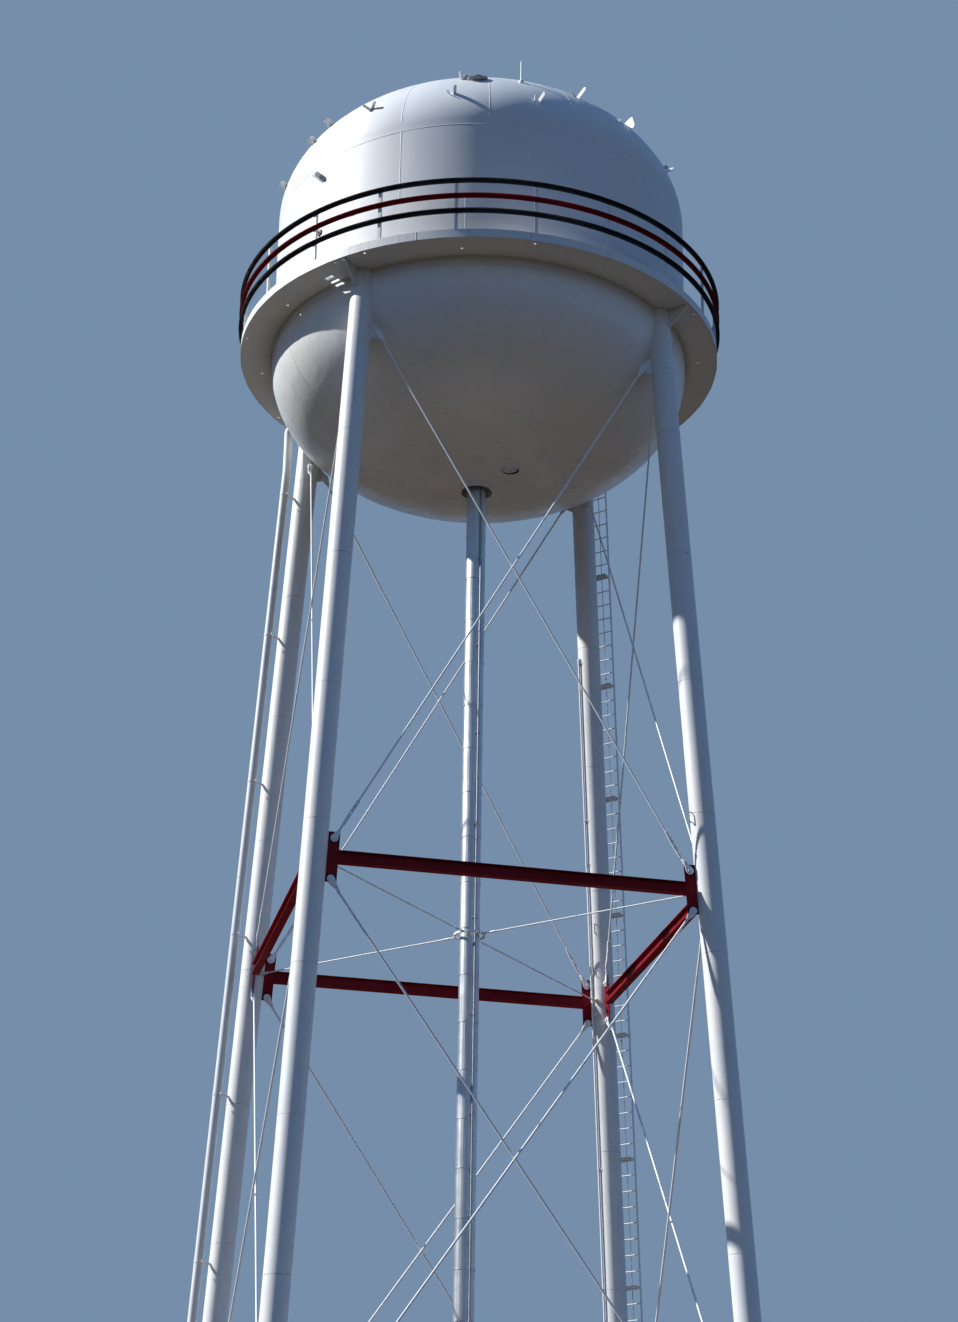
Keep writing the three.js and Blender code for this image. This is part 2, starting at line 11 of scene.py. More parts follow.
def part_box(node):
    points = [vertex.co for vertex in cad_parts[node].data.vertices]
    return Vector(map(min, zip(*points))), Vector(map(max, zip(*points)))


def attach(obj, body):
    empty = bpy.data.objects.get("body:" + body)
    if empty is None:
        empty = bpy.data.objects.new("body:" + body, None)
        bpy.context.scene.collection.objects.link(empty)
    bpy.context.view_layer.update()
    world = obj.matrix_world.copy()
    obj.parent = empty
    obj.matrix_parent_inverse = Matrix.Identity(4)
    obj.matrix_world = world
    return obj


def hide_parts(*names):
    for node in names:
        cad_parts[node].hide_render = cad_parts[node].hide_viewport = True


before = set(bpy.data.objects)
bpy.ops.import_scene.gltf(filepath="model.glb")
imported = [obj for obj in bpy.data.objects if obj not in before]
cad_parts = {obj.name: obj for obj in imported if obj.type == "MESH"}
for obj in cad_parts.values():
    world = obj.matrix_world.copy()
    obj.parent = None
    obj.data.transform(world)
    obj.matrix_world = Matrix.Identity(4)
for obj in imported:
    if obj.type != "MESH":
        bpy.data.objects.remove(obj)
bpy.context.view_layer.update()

TAU = 2 * math.pi
UP = (0, 0, 1)
SEED = 7
# Keeps faces that meet from lying in one plane
HAIR = 0.0003
# Widths and heights of the weld beads, and thread sizes of the bolts
BEADS = {"tank": (0.022, 0.0035), "floor": (0.024, 0.005), "corner": (0.030, 0.010), "edge": (0.022, 0.004),
         "post": (0.012, 0.008), "cope": (0.036, 0.012), "girth": (0.014, 0.003)}
BOLTS = {"cover": 0.014, "whip": 0.010, "rail": 0.012, "strut": 0.020, "anchor": 0.036, "riser": 0.024}

# Layout of the tower, as in its CAD model
BATTER = 1 / 20
FOOT_HALF = 4.56
PANEL = 10.668
LEVELS = {"lower": PANEL, "upper": 2 * PANEL}
TOP_PIN = 3 * PANEL
FOOT_PIN = 0.42
FACES = ("front", "right", "back", "left")
CORNERS = ("front_left", "front_right", "back_right", "back_left")
PANELS = ("bottom", "middle", "top")

# Tank
TANK_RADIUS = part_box("tank_shell")[1][0]
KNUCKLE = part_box("tank_shell")[0][2]
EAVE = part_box("tank_shell")[1][2]
ROOF_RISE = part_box("tank_roof")[1][2] - EAVE
BOTTOM_DEPTH = 2.515
# The height of each elliptical head's centre, and its rise
ROOF = (EAVE, ROOF_RISE)
BOWL = (KNUCKLE, -BOTTOM_DEPTH)
PLATE = 0.012
TANK_SIDES = 240
FLAT_RADIUS = 0.34
BOWL_LIP = KNUCKLE - BOTTOM_DEPTH * math.sqrt(1 - (FLAT_RADIUS / TANK_RADIUS) ** 2)
# Plates' widths and their first seams in degrees, then the seams that run all round
ROOF_GORE = 24
ROOF_SEAM = -100.6
SHELL_PLATE = 36
SHELL_SEAM = ROOF_SEAM + 12
BOWL_GORE = 24
BOWL_SEAM = ROOF_SEAM + 6
CROWN_RADIUS = 1.25
EAVE_SEAM = 36.30
BOWL_RING = 1.55
SEAM_END = 0.02
TANK_SHARP = 50
PINCH = {"depth": 0.003, "width": 0.12, "most": 1.2}
WAVE = {"tank": 0.0012, "bowl": 0.0065, "held": 0.22}
NOZZLE = {"azimuth": -59.9, "reach": 0.966, "radius": 0.19, "wall": 0.166, "cover": 0.136, "studs": 0.112,
          "low": 0.020, "high": 0.15, "set": 0.024, "thickness": 0.016}
SHELL_DISC = {"azimuth": -151.5, "height": 34.70, "radius": 0.072}

# Roof fittings: azimuth in degrees and distance from the axis
WHIP = {"azimuth": -90.4, "reach": 3.584, "height": 0.51}
HATCH = {"azimuth": -104, "reach": 3.6, "wall": 0.148, "neck": 0.160, "lid": 0.187}
CLIP_THICKNESS = 0.012
# A kind of rigging clip is a set of legs, each with its foot's shift round the tank, width, height, and in
# degrees its lean the same way and the way it faces, counted from down the slope
CLIP_KINDS = {
    "short_and_tall": ((-0.05, 0.09, 0.10, -10, -45), (0.07, 0.09, 0.20, 8, 60)),
    "leaning_pair": ((-0.04, 0.05, 0.11, -15, -80), (0.05, 0.09, 0.21, 15, -72)),
    "upright_and_wedge": ((-0.04, 0.06, 0.17, 0, -40), (0.04, 0.11, 0.11, 28, 30)),
    "tall_and_low": ((0.04, 0.09, 0.25, 15, -78), (-0.03, 0.06, 0.13, -68, -70)),
    "diamond": ((0.0, 0.09, 0.12, 40, -82),),
    "wide_v": ((-0.02, 0.06, 0.17, -30, 5), (0.02, 0.07, 0.20, 48, 45)),
    "bent_plate": ((-0.055, 0.11, 0.17, 12, -50), (0.045, 0.11, 0.17, 12, 40)),
    "narrow_v": ((-0.03, 0.09, 0.15, -20, 45), (0.03, 0.09, 0.15, 20, 55)),
}
CLIPS = ((-177.3, 4.099, "narrow_v"), (-160.5, 3.962, "narrow_v"), (-156.1, 3.781, "bent_plate"),
         (-135.6, 3.993, "wide_v"), (-111.2, 4.019, "short_and_tall"), (-109.0, 3.573, "upright_and_wedge"),
         (-87.4, 4.043, "leaning_pair"), (-72.0, 3.641, "tall_and_low"), (-60.2, 3.93, "diamond"),
         (-30, 3.9, "short_and_tall"), (-8, 3.7, "narrow_v"), (14, 4.0, "leaning_pair"), (38, 3.7, "wide_v"),
         (62, 3.95, "bent_plate"), (86, 3.7, "tall_and_low"), (110, 4.0, "short_and_tall"),
         (134, 3.72, "narrow_v"), (158, 3.95, "leaning_pair"))
SHELL_CLIP = {"azimuth": -152.7, "height": 36.02, "kind": "bent_plate"}
EAR = {"azimuth": -52.5, "reach": 3.814, "facing": 212}

# Balcony
FLOOR = 33.32
FLOOR_TOP = 33.33
FLOOR_SEAMS = {"count": 20, "first": -81}
EDGE = {"inner": 4.777, "outer": 4.787, "height": 0.18}
POST = {"count": 20, "first": -90, "width": 0.060, "thickness": 0.006, "outer": 4.779, "top": 34.586}
RAIL = {"inner": 4.7793, "leg": 0.076, "thickness": 0.006, "bolts": (-0.016, 0.016), "gauge": 0.42}
SPLICE = {"count": 5, "first": -45, "length": 0.30, "thickness": 0.006, "bolts": (-0.12, -0.05, 0.05, 0.12)}
RAILS = {"top": 34.513, "middle": 34.177, "lower": 33.845}
RING_SIDES = 180

# Columns
COLUMN_RADIUS = 0.225
COLUMN_SIDES = 48
GIRTH_SEAMS = {"front_left": 1.16, "front_right": 1.95, "back_right": 2.79, "back_left": 0.60}
GIRTH_SPACING = 2.6
GIRTH_TOP = 32.0
BASE = {"width": 0.64, "thickness": 0.038, "bolt": 0.25}
FIN = {"width": 0.60, "top": 0.47, "height": 0.30, "thickness": 0.016}
# Lugs: the root's reach, its low and high corners off the pin, the nose's radius and the thickness
LUGS = {"top": (0.12, -0.15, 0.39, 0.062, 0.016), "foot": (0.12, -0.39, 0.19, 0.068, 0.016),
        "tie": (0.20, -0.055, 0.055, 0.042, 0.014)}
BRACKET = {"drop": 0.44, "toe": 0.06, "heel": 0.20, "root": 0.10, "inset": 0.022, "thickness": 0.014}
# The search for the weld under the tank: from a height below the bowl, round the column, by halves
COPE = {"below": 30.0, "steps": 97, "halvings": 40}
# Handles: the corner, the way they face in degrees, and the heights of their ends
HANDLES = ((1, 200, 22.574, 22.764), (2, 233, 22.698, 22.891), (2, 233, 21.82, 21.96))
HANDLE = {"foot": 0.215, "reach": 0.30, "bend": 0.035, "radius": 0.010}

# Struts and tie rods: a pin's distance from the column's axis, and its height off the strut
GUSSET = 0.016
STRUT_BOLTS = {"reaches": (0.330, 0.375), "rises": (-0.06, 0.06)}
PIN = {"reach": 0.325, "above": 0.334, "below": 0.409, "top": 0.381, "foot": 0.330}
ROD_RADIUS = {"bottom": 0.022, "middle": 0.020, "top": 0.017}
EYE = {"radius": 0.068, "taper": 0.27, "thickness": 0.046}
FORK = {"thickness": 0.024, "clear": 0.0005, "crotch": 0.165, "neck": 0.021}
TURNBUCKLE = {"start": 0.33, "end": 0.80, "radius": 0.028, "boss": 0.10}
ROD_SIDES = 14
ROD_PIN = {"radius": 0.024, "end": 0.030, "washer": 0.042, "nut": 0.062}

# Riser and its ties
RISER_RADIUS = 0.187
RISER_SIDES = 72
RISER_BASE = {"radius": 0.30, "height": 0.04, "jacket": 0.10, "bolt": 0.255}
SHEET = 0.889
# The jacket's straps have buckles, each turned on from the one below, and its laps change sides
STRAP = {"height": 0.022, "stand": 0.0045, "buckle": (0.012, 0.055, 0.030), "first": -40, "turn": 137}
LAP = {"width": 0.05, "first": -150, "turn": 24}
COLLAR = {"outer": 0.322, "inner": 0.306, "height": 0.105, "sleeve": 0.15}
TIE_RING = {"outer": 0.290, "inner": 0.264, "height": 0.04}
TIE = {"radius": 0.013, "pin": 0.265, "beside": 0.0213, "eye": 0.042}

# Ladder, conduits and overflow pipe
LADDER = {"bottom": 2.49, "top": 34.4, "reach": 0.40, "left": 0.063, "right": -0.343, "splices": 6.1}
LADDER_RAIL = (0.060, 0.010)
RUNG = 0.3048
RUNG_RADIUS = 0.0115
LADDER_PLATE = {"first": 4, "every": 8, "count": 13, "root": 0.215, "thickness": 0.012, "lip": 0.055}
CABLE = {"radius": 0.006, "ahead": 0.045, "guides": 7.6}
CONDUIT_RADIUS = 0.022
STRAP_WIDTH = 0.035
RISER_CONDUIT = {"azimuth": -74, "clear": 0.008, "straps": (1.5, 1.83), "couplings": (3.0, 3.05)}
COLUMN_CONDUIT = {"azimuth": 197.5, "clear": 0.010, "top": 28.5}
COLUMN_STRAPS = (28.45, 25.058, 24.154, 21.1, 18.053, 15.0, 12.0, 9.0, 6.0, 3.0, 1.0)
OVERFLOW = {"radius": 0.084, "left": 0.440, "forward": 0.204, "bend": 31.95, "entry": 32.91, "end": 0.45,
            "reach": 4.08, "elbow": 0.10}
OUTLET = (-0.26, 0.06, -0.26)
OVERFLOW_JOINTS = (4.9, 11.0, 17.1, 23.2, 29.3)
STANDOFF = {"first": 3.365, "last": 31.4, "spacing": 3.115}

# Camera, light and stage, fitted to the photograph. Angles in degrees
CAMERA_PLACE = (-10.166, -46.064, 5.67)
HEADING, PITCH, ROLL = 77.436, 24.182, 0.869
LENS, SENSOR, CLIP_END = 73.47, 36, 500
SUN = {"azimuth": 166, "height": 39.7, "energy": 5.6, "angle": 0.8, "color": (1.0, 0.99, 0.965)}
SKY = ((0.0, (0.030, 0.023, 0.015)), (0.02, (0.32, 0.355, 0.385)), (0.12, (0.15, 0.245, 0.41)),
       (0.45, (0.080, 0.165, 0.33)), (1.0, (0.04, 0.10, 0.235)))
SKY_STRENGTH = (1.02, 1.36)
BRIGHT_SIDE = 347
BACKDROP = (0.18, 0.27, 0.40, 1)
STAGE = {"radius": 16.0, "sides": 96, "height": -0.002, "fade": (8.5, 14.0), "tones": (
    (0.37, 0.325, 0.275), (0.40, 0.355, 0.305))}


# Forms

def about_z(degrees):
    return Matrix.Rotation(math.radians(degrees), 4, "Z")


def frame_at(origin, x_axis, y_axis):
    """A frame at origin with its X along x_axis and its Y as near y_axis as can be."""
    x = Vector(x_axis).normalized()
    z = x.cross(Vector(y_axis)).normalized()
    return Matrix.Translation(origin) @ Matrix((x, z.cross(x), z)).transposed().to_4x4()


def out_at(azimuth, reach, height=0.0):
    """A frame at an azimuth and a distance from the tower's axis, with its X outward."""
    return about_z(azimuth) @ Matrix.Translation((reach, 0, height))


def direction(azimuth, height=0.0):
    """The unit vector toward an azimuth and a height in degrees."""
    azimuth, height = math.radians(azimuth), math.radians(height)
    level = math.cos(height)
    return Vector((level * math.cos(azimuth), level * math.sin(azimuth), math.sin(height)))


# These stand a flat form up: into the XZ plane, or facing +X
UPRIGHT = frame_at((0, 0, 0), (1, 0, 0), UP)
OUTWARD = frame_at((0, 0, 0), (0, 1, 0), UP)


class Form:
    """Points and faces, facing out, before they become a piece."""

    def __init__(self, points, faces):
        self.points = np.asarray(points, float).reshape(-1, 3)
        self.faces = faces

    def moved(self, matrix):
        move = np.array(matrix)
        return Form(self.points @ move[:3, :3].T + move[:3, 3], self.faces)

    def at(self, x, y, z):
        return self.moved(Matrix.Translation((x, y, z)))

    def turned(self, degrees):
        return self.moved(about_z(degrees))


def joined(*forms):
    points, faces, start = [], [], 0
    for form in forms:
        points.append(form.points)
        faces += [tuple(start + i for i in face) for face in form.faces]
        start += len(form.points)
    return Form(np.vstack(points), faces)


def spun(form, count, start=0.0):
    return joined(*(form.turned(start + i * 360 / count) for i in range(count)))


def loft(rows, wrap=False, caps=False):
    """Joins rows of points, each a ring or a single pole, into one skin."""
    rows = [np.atleast_2d(np.asarray(row, float)) for row in rows]
    starts = [0]
    for row in rows:
        starts.append(starts[-1] + len(row))
    sides = max(len(row) for row in rows)
    pairs = [(i, i + 1) for i in range(len(rows) - 1)]
    if wrap:
        pairs.append((len(rows) - 1, 0))
    faces = []
    for low, high in pairs:
        here, there = len(rows[low]), len(rows[high])
        for j in range(sides):
            k = (j + 1) % sides
            corners = (starts[low] + j % here, starts[low] + k % here,
                       starts[high] + k % there, starts[high] + j % there)
            face = tuple(dict.fromkeys(corners))
            if len(face) > 2:
                faces.append(face)
    if caps:
        faces.append(tuple(range(sides))[::-1])
        faces.append(tuple(range(starts[-2], starts[-1])))
    return Form(np.vstack(rows), faces)


def ring(radius, height, sides):
    """Points round the Z axis; a radius of nothing gives its one point."""
    if radius < 1e-6:
        return [(0, 0, height)]
    angles = np.linspace(0, TAU, sides, endpoint=False)
    return np.column_stack((radius * np.cos(angles), radius * np.sin(angles), np.full(sides, height)))


def lathe(outline, sides):
    """A solid of revolution about Z from a closed outline of (radius, height), up on its outside."""
    return loft([ring(radius, height, sides) for radius, height in outline], wrap=True)


def pipe(inner, outer, low, high, sides):
    return lathe([(inner, low), (outer, low), (outer, high), (inner, high)], sides)


def capped(outline, sides):
    """A solid of revolution with flat ends, from (radius, height) up its side."""
    return loft([ring(radius, height, sides) for radius, height in outline], caps=True)


def cylinder(radius, low, high, sides=24):
    return capped([(radius, low), (radius, high)], sides)


def tube(path, radius, sides):
    """A round bar along a path of points."""
    path = np.asarray(path, float)
    tangents = np.gradient(path, axis=0)
    tangents /= np.linalg.norm(tangents, axis=1)[:, None]
    side = np.cross(tangents[0], UP if abs(tangents[0][2]) < 0.9 else (1, 0, 0))
    angles = np.linspace(0, TAU, sides, endpoint=False)
    rows = []
    for point, tangent in zip(path, tangents):
        side = side - tangent * (side @ tangent)
        side /= np.linalg.norm(side)
        across = np.cross(tangent, side)
        rows.append(point + radius * (np.outer(np.cos(angles), side) + np.outer(np.sin(angles), across)))
    return loft(rows, caps=True)


def bead(path, outward, width, height, closed=False, uneven=0.25):
    """A weld bead on a surface: a low, slightly uneven ridge along a path, with the surface's normals."""
    path, outward = np.asarray(path, float), np.asarray(outward, float)
    ahead = np.roll(path, -1, 0) - np.roll(path, 1, 0) if closed else np.gradient(path, axis=0)
    across = np.cross(outward, ahead)
    across /= np.linalg.norm(across, axis=1)[:, None]
    chance = np.random.default_rng(SEED)
    size = 1 + uneven * chance.uniform(-1, 1, len(path))
    profile = ((-0.5, -0.5), (0.5, -0.5), (0.36, 0.7), (0, 1), (-0.36, 0.7))
    rows = []
    for point, side, out, scale in zip(path, across, outward, size):
        rows.append([point + side * x * width * scale + out * y * height * scale for x, y in profile])
    return loft(rows, wrap=closed, caps=not closed)


def plate(outline, thickness):
    """A flat plate in the XY plane, its outline counterclockwise, centred on the plane."""
    outline = np.asarray(outline, float)
    sides = [np.column_stack((outline, np.full(len(outline), z))) for z in (-thickness / 2, thickness / 2)]
    return loft(sides, caps=True)


def block(x, y, z):
    return plate([(-x / 2, -y / 2), (x / 2, -y / 2), (x / 2, y / 2), (-x / 2, y / 2)], z)


def circle(radius, count, centre=(0, 0)):
    return [(centre[0] + radius * math.cos(i * TAU / count), centre[1] + radius * math.sin(i * TAU / count))
            for i in range(count)]


def hull(points):
    return [points[i] for i in convex_hull_2d([Vector(point) for point in points])]


def hexagon(across, height):
    """A bolt head or nut standing on the XY plane, with its corners taken off."""
    radius, cut = across / math.sqrt(3), 0.12
    return capped([(radius * (1 - cut), 0), (radius, height * cut), (radius, height * (1 - cut)),
                   (radius * (1 - cut), height)], 6)


def bolt(size, reach=0.0):
    """A hexagon head on its washer; reach adds the end of a stud beyond it."""
    parts = [cylinder(size * 1.1, 0, size * 0.18, 20), hexagon(size * 1.7, size * 0.8).at(0, 0, size * 0.18)]
    if reach:
        parts.append(cylinder(size / 2, 0, reach, 12))
    return joined(*parts)


def rounded(path, radius):
    """The path with an arc of about that radius at each inner corner."""
    path, steps = [Vector(point) for point in path], 8
    points = [path[0]]
    for before, corner, after in zip(path, path[1:], path[2:]):
        toward, away = (before - corner).normalized(), (after - corner).normalized()
        cut = radius / math.tan(toward.angle(away) / 2)
        start, end = corner + toward * cut, corner + away * cut
        for i in range(steps + 1):
            t = i / steps
            points.append(start.lerp(corner, t).lerp(corner.lerp(end, t), t))
    return points + [path[-1]]


def piece(name, form, material, replaces=(), bevel=0.0, sharp=32):
    """Makes the form a piece of the tower that rides on its one body."""
    mesh = bpy.data.meshes.new(name)
    mesh.from_pydata(form.points.tolist(), [], form.faces)
    mesh.materials.append(material)
    mesh.shade_smooth()
    mesh.set_sharp_from_angle(angle=math.radians(sharp))
    made = bpy.data.objects.new(name, mesh)
    bpy.context.scene.collection.objects.link(made)
    if bevel:
        soften(made, bevel)
    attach(made, "root")
    if replaces:
        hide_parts(*replaces)


def soften(made, width):
    """Rounds the sharp edges a little, so that they catch the light."""
    edge = made.modifiers.new("edges", "BEVEL")
    edge.width = width
    edge.segments = 2
    edge.limit_method = "ANGLE"
    edge.angle_limit = math.radians(35)
    edge.harden_normals = True


def repaint(node, material):
    node.data.materials.clear()
    node.data.materials.append(material)


# Materials

class Finish:
    """One procedural material, built from noise in the tower's own frame."""

    def __init__(self, name):
        self.material = bpy.data.materials.new(name)
        self.material.use_nodes = True
        self.tree = self.material.node_tree
        self.shader = self.tree.nodes["Principled BSDF"]
        self.place = self.add("ShaderNodeTexCoord").outputs["Object"]

    def add(self, kind, *values, **settings):
        node = self.tree.nodes.new(kind)
        for key, value in settings.items():
            setattr(node, key, value)
        for i, value in enumerate(values):
            self.feed(node.inputs[i], value)
        return node

    def feed(self, socket, value):
        if isinstance(value, bpy.types.NodeSocket):
            self.tree.links.new(value, socket)
        elif value is not None:
            socket.default_value = value

    def maths(self, operation, a, b=None):
        return self.add("ShaderNodeMath", a, b, operation=operation).outputs[0]

    def vector(self, operation, a, b=None, output=0):
        return self.add("ShaderNodeVectorMath", a, b, operation=operation).outputs[output]

    def stretched(self, x, y, z):
        return self.vector("MULTIPLY", self.place, (x, y, z))

    def down_the_bowl(self, around, down):
        """Coordinates that are fine round the tank's axis and long down it."""
        outward = self.vector("NORMALIZE", self.stretched(1, 1, 0))
        return self.vector("ADD", self.vector("MULTIPLY", outward, (around, around, 0)),
                           self.stretched(0, 0, down))

    def noise(self, scale, detail, place=None, roughness=0.5):
        """Noise at the coordinates in place, or at the object's own, stretched by three numbers in place."""
        if isinstance(place, tuple):
            place = self.stretched(*place)
        node = self.add("ShaderNodeTexNoise")
        self.feed(node.inputs["Vector"], self.place if place is None else place)
        for key, value in (("Scale", scale), ("Detail", detail), ("Roughness", roughness)):
            node.inputs[key].default_value = value
        return node.outputs[0]

    def between(self, value, low, high, to_low=0.0, to_high=1.0):
        """Maps low to high smoothly onto to_low to to_high."""
        return self.add("ShaderNodeMapRange", value, low, high, to_low, to_high,
                        interpolation_type="SMOOTHSTEP").outputs[0]

    def mix(self, factor, a, b):
        node = self.add("ShaderNodeMix", data_type="RGBA")
        for i, value in ((0, factor), (6, a), (7, b)):
            self.feed(node.inputs[i], (*value, 1.0) if isinstance(value, tuple) else value)
        return node.outputs[2]

    def layered(self, color, *layers):
        """Lays tints over a colour, each as (noise, low, high, most, tint): most of the tint at high."""
        for noise, low, high, most, tint in layers:
            color = self.mix(self.between(self.noise(*noise), low, high, 0.0, most), color, tint)
        return color

    def near_heights(self, heights, reach):
        """1 at each of the heights, falling to 0 a reach away."""
        z = self.add("ShaderNodeSeparateXYZ", self.place).outputs[2]
        total = None
        for height in heights:
            away = self.maths("ABSOLUTE", self.maths("SUBTRACT", z, height))
            here = self.between(away, 0.0, reach, 1.0, 0.0)
            total = here if total is None else self.maths("MAXIMUM", total, here)
        return total

    def done(self, color, roughness, bumps=(), metallic=0.0, gloss=0.5):
        """Feeds the shader. Roughness is a number, or a noise's scale and detail and the range it gives.
        Each bump is (noise, strength, distance)."""
        if isinstance(roughness, tuple):
            roughness = self.between(self.noise(*roughness[:2]), 0.3, 0.7, *roughness[2:])
        for key, value in (("Specular IOR Level", gloss), ("Metallic", metallic), ("Roughness", roughness),
                           ("Base Color", color)):
            self.feed(self.shader.inputs[key], value)
        normal = None
        for noise, strength, distance in bumps:
            bump = self.add("ShaderNodeBump")
            for key, value in (("Strength", strength), ("Distance", distance), ("Height", self.noise(*noise)),
                               ("Normal", normal)):
                self.feed(bump.inputs[key], value)
            normal = bump.outputs[0]
        self.feed(self.shader.inputs["Normal"], normal)
        return self.material


GRIME = (0.20, 0.175, 0.14)
RUST = (0.17, 0.052, 0.016)
DARK_RUST = (0.06, 0.02, 0.01)
NEAR_PIN_DARK = (0.022, 0.008, 0.010)


def tinted(color, *shares):
    return tuple(c * share for c, share in zip(color, shares))


def tank_paint(name, base, dirt, mottled=0.0, rough=(0.40, 0.54), gloss=0.28, dents=(0.8, 0.08)):
    """White semi-gloss tank paint: soft patches of tone, faint runs and dust, and a rolled-on texture."""
    f = Finish(name)
    color = f.layered(tinted(base, 0.94, 0.965, 1.0),
                      ((0.45, 3), 0.38, 0.64, 1.0, tinted(base, 1.0, 0.985, 0.955)),
                      ((1.6, 5, f.down_the_bowl(9.0, 0.45), 0.6), 0.54, 0.80, dirt, GRIME),
                      ((1.5, 8, None, 0.72), 0.50, 0.74, dirt, tinted(base, 0.70, 0.70, 0.70)))
    if mottled:
        speckle = f.between(f.noise(9, 10, None, 0.78), 0.50, 0.66, 0.0, mottled)
        area = f.between(f.noise(0.7, 3), 0.42, 0.62)
        color = f.mix(f.maths("MULTIPLY", speckle, area), color, tinted(base, 0.55, 0.55, 0.55))
    scale, strength = dents
    return f.done(color, (1.3, 4, *rough), (((scale, 3, None, 0.6), strength, 0.02), ((45, 3), 0.18, 0.002)),
                  gloss=gloss)


def steel_paint(name, base, dirt, rust, levels=(), reach=0.0, scattered=0.35):
    """White paint on pipes, rods and plates: long faint streaks, chips of rust near the joints."""
    f = Finish(name)
    color = f.layered(tinted(base, 0.93, 0.96, 1.0), ((0.8, 3), 0.35, 0.65, 1.0, base),
                      ((1.0, 5, (11, 11, 0.55), 0.6), 0.52, 0.80, dirt, GRIME))
    chips = f.noise(14, 6, None, 0.65)
    spots = f.between(chips, 0.70, 0.73, 0.0, rust)
    if levels:
        close = f.near_heights(levels, reach)
        near = f.between(chips, 0.635, 0.67, 0.0, rust)
        spots = f.maths("MAXIMUM", f.maths("MULTIPLY", spots, scattered), f.maths("MULTIPLY", near, close))
    return f.done(f.mix(spots, color, RUST), (3.0, 4, 0.36, 0.54),
                  (((4.0, 2), 0.12, 0.006), ((120, 3), 0.25, 0.0012)))


def dark_paint(name, base, worn, edge_rust, dusty=0.30, gloss=0.5, darkened_heights=()):
    """Red or black paint, faded in patches, with rust in small chips and near-black patches at some heights.
    """
    f = Finish(name)
    dust = tuple(0.75 * a + 0.25 * b for a, b in zip(worn, GRIME))
    color = f.layered(base, ((1.6, 4), 0.35, 0.68, 1.0, worn),
                      ((2.0, 6, (3, 3, 1.0), 0.65), 0.50, 0.80, dusty, dust))
    # Near-black patches about the given heights, on the red paint those of the strut pins, broken up by
    # noise.
    if darkened_heights:
        patch = f.between(f.noise(7, 5, None, 0.6), 0.30, 0.50)
        color = f.mix(f.maths("MULTIPLY", f.near_heights(darkened_heights, 0.15), patch), color, NEAR_PIN_DARK)
    color = f.layered(color, ((17, 6, None, 0.65), 0.64, 0.68, edge_rust, DARK_RUST))
    return f.done(color, (5.0, 4, 0.38, 0.58), (((90, 3), 0.3, 0.0015),), gloss=gloss)


def plain_finish(name, color, layers, roughness, bumps, metallic=0.0):
    f = Finish(name)
    return f.done(f.layered(color, *layers), roughness, bumps, metallic)


JOINTS = (*LEVELS.values(), TOP_PIN, FOOT_PIN)
STRUT_PINS = [level + rise for level in LEVELS.values() for rise in (PIN["above"], -PIN["below"])]
TANK_WHITE = tank_paint("tank_white", (0.80, 0.81, 0.81), 0.07)
BOWL_WHITE = tank_paint("bowl_white", (0.93, 0.935, 0.915), 0.07, 0.22, (0.24, 0.36), 0.55, (2.2, 0.55))
COLUMN_WHITE = steel_paint("column_white", (0.82, 0.82, 0.81), 0.17, 0.8, JOINTS, 0.75)
ROD_WHITE = steel_paint("rod_white", (0.92, 0.92, 0.92), 0.05, 0.7, JOINTS, 0.5, scattered=0.1)
BALCONY_WHITE = steel_paint("balcony_white", (0.78, 0.78, 0.77), 0.35, 0.55)
# The floor's paint is a brighter, warmer white than the balcony's: painted fill light for the bounce it lacks
# underneath, over real mottled dirt.
FLOOR_PAINT_AND_FILL = tank_paint("balcony_floor_paint_and_fill", (0.90, 0.885, 0.845), 0.10, mottled=0.25)
RED = dark_paint("red_paint", (0.24, 0.002, 0.009), (0.27, 0.008, 0.016), 0.5, 0.08, 0.12, STRUT_PINS)
BLACK = dark_paint("black_paint", (0.012, 0.013, 0.018), (0.030, 0.032, 0.040), 0.4)
HATCH_GREY = dark_paint("hatch_grey", (0.05, 0.052, 0.055), (0.11, 0.11, 0.11), 0.5)
# Weathered aluminium sheet, dull in patches and a little dented
JACKET = plain_finish(
    "riser_jacket_sheet", (0.56, 0.575, 0.585),
    (((0.9, 4), 0.35, 0.68, 1.0, (0.66, 0.67, 0.67)),
     ((1.0, 5, (14, 14, 0.5), 0.6), 0.52, 0.82, 0.25, (0.34, 0.34, 0.34))),
    (3.0, 4, 0.36, 0.43), (((2.0, 2, (2, 2, 1)), 0.12, 0.010), ((1.0, 3, (40, 40, 260)), 0.06, 0.0008)), 0.92)
# Dull zinc with a faint spangle
ZINC = plain_finish("galvanised_pipe", (0.40, 0.42, 0.45), (((26, 4), 0.4, 0.6, 1.0, (0.50, 0.52, 0.55)),),
                    (12, 3, 0.36, 0.5), (((200, 2), 0.15, 0.0006),), 0.35)
# Galvanised and rusting fasteners
STEEL = plain_finish("fastener_steel", (0.42, 0.42, 0.41), (((30, 4), 0.4, 0.6, 1.0, (0.20, 0.13, 0.09)),),
                     (40, 3, 0.4, 0.65), (((300, 2), 0.3, 0.0006),), 0.6)
# White paint over welds, broken all along by specks of rust
WELD = plain_finish("weld_paint", (0.78, 0.78, 0.77),
                    (((5, 3), 0.4, 0.6, 1.0, (0.66, 0.63, 0.58)),
                     ((34, 6, None, 0.7), 0.52, 0.60, 0.8, RUST)),
                    (40, 3, 0.5, 0.7), (((160, 3), 0.4, 0.002),))
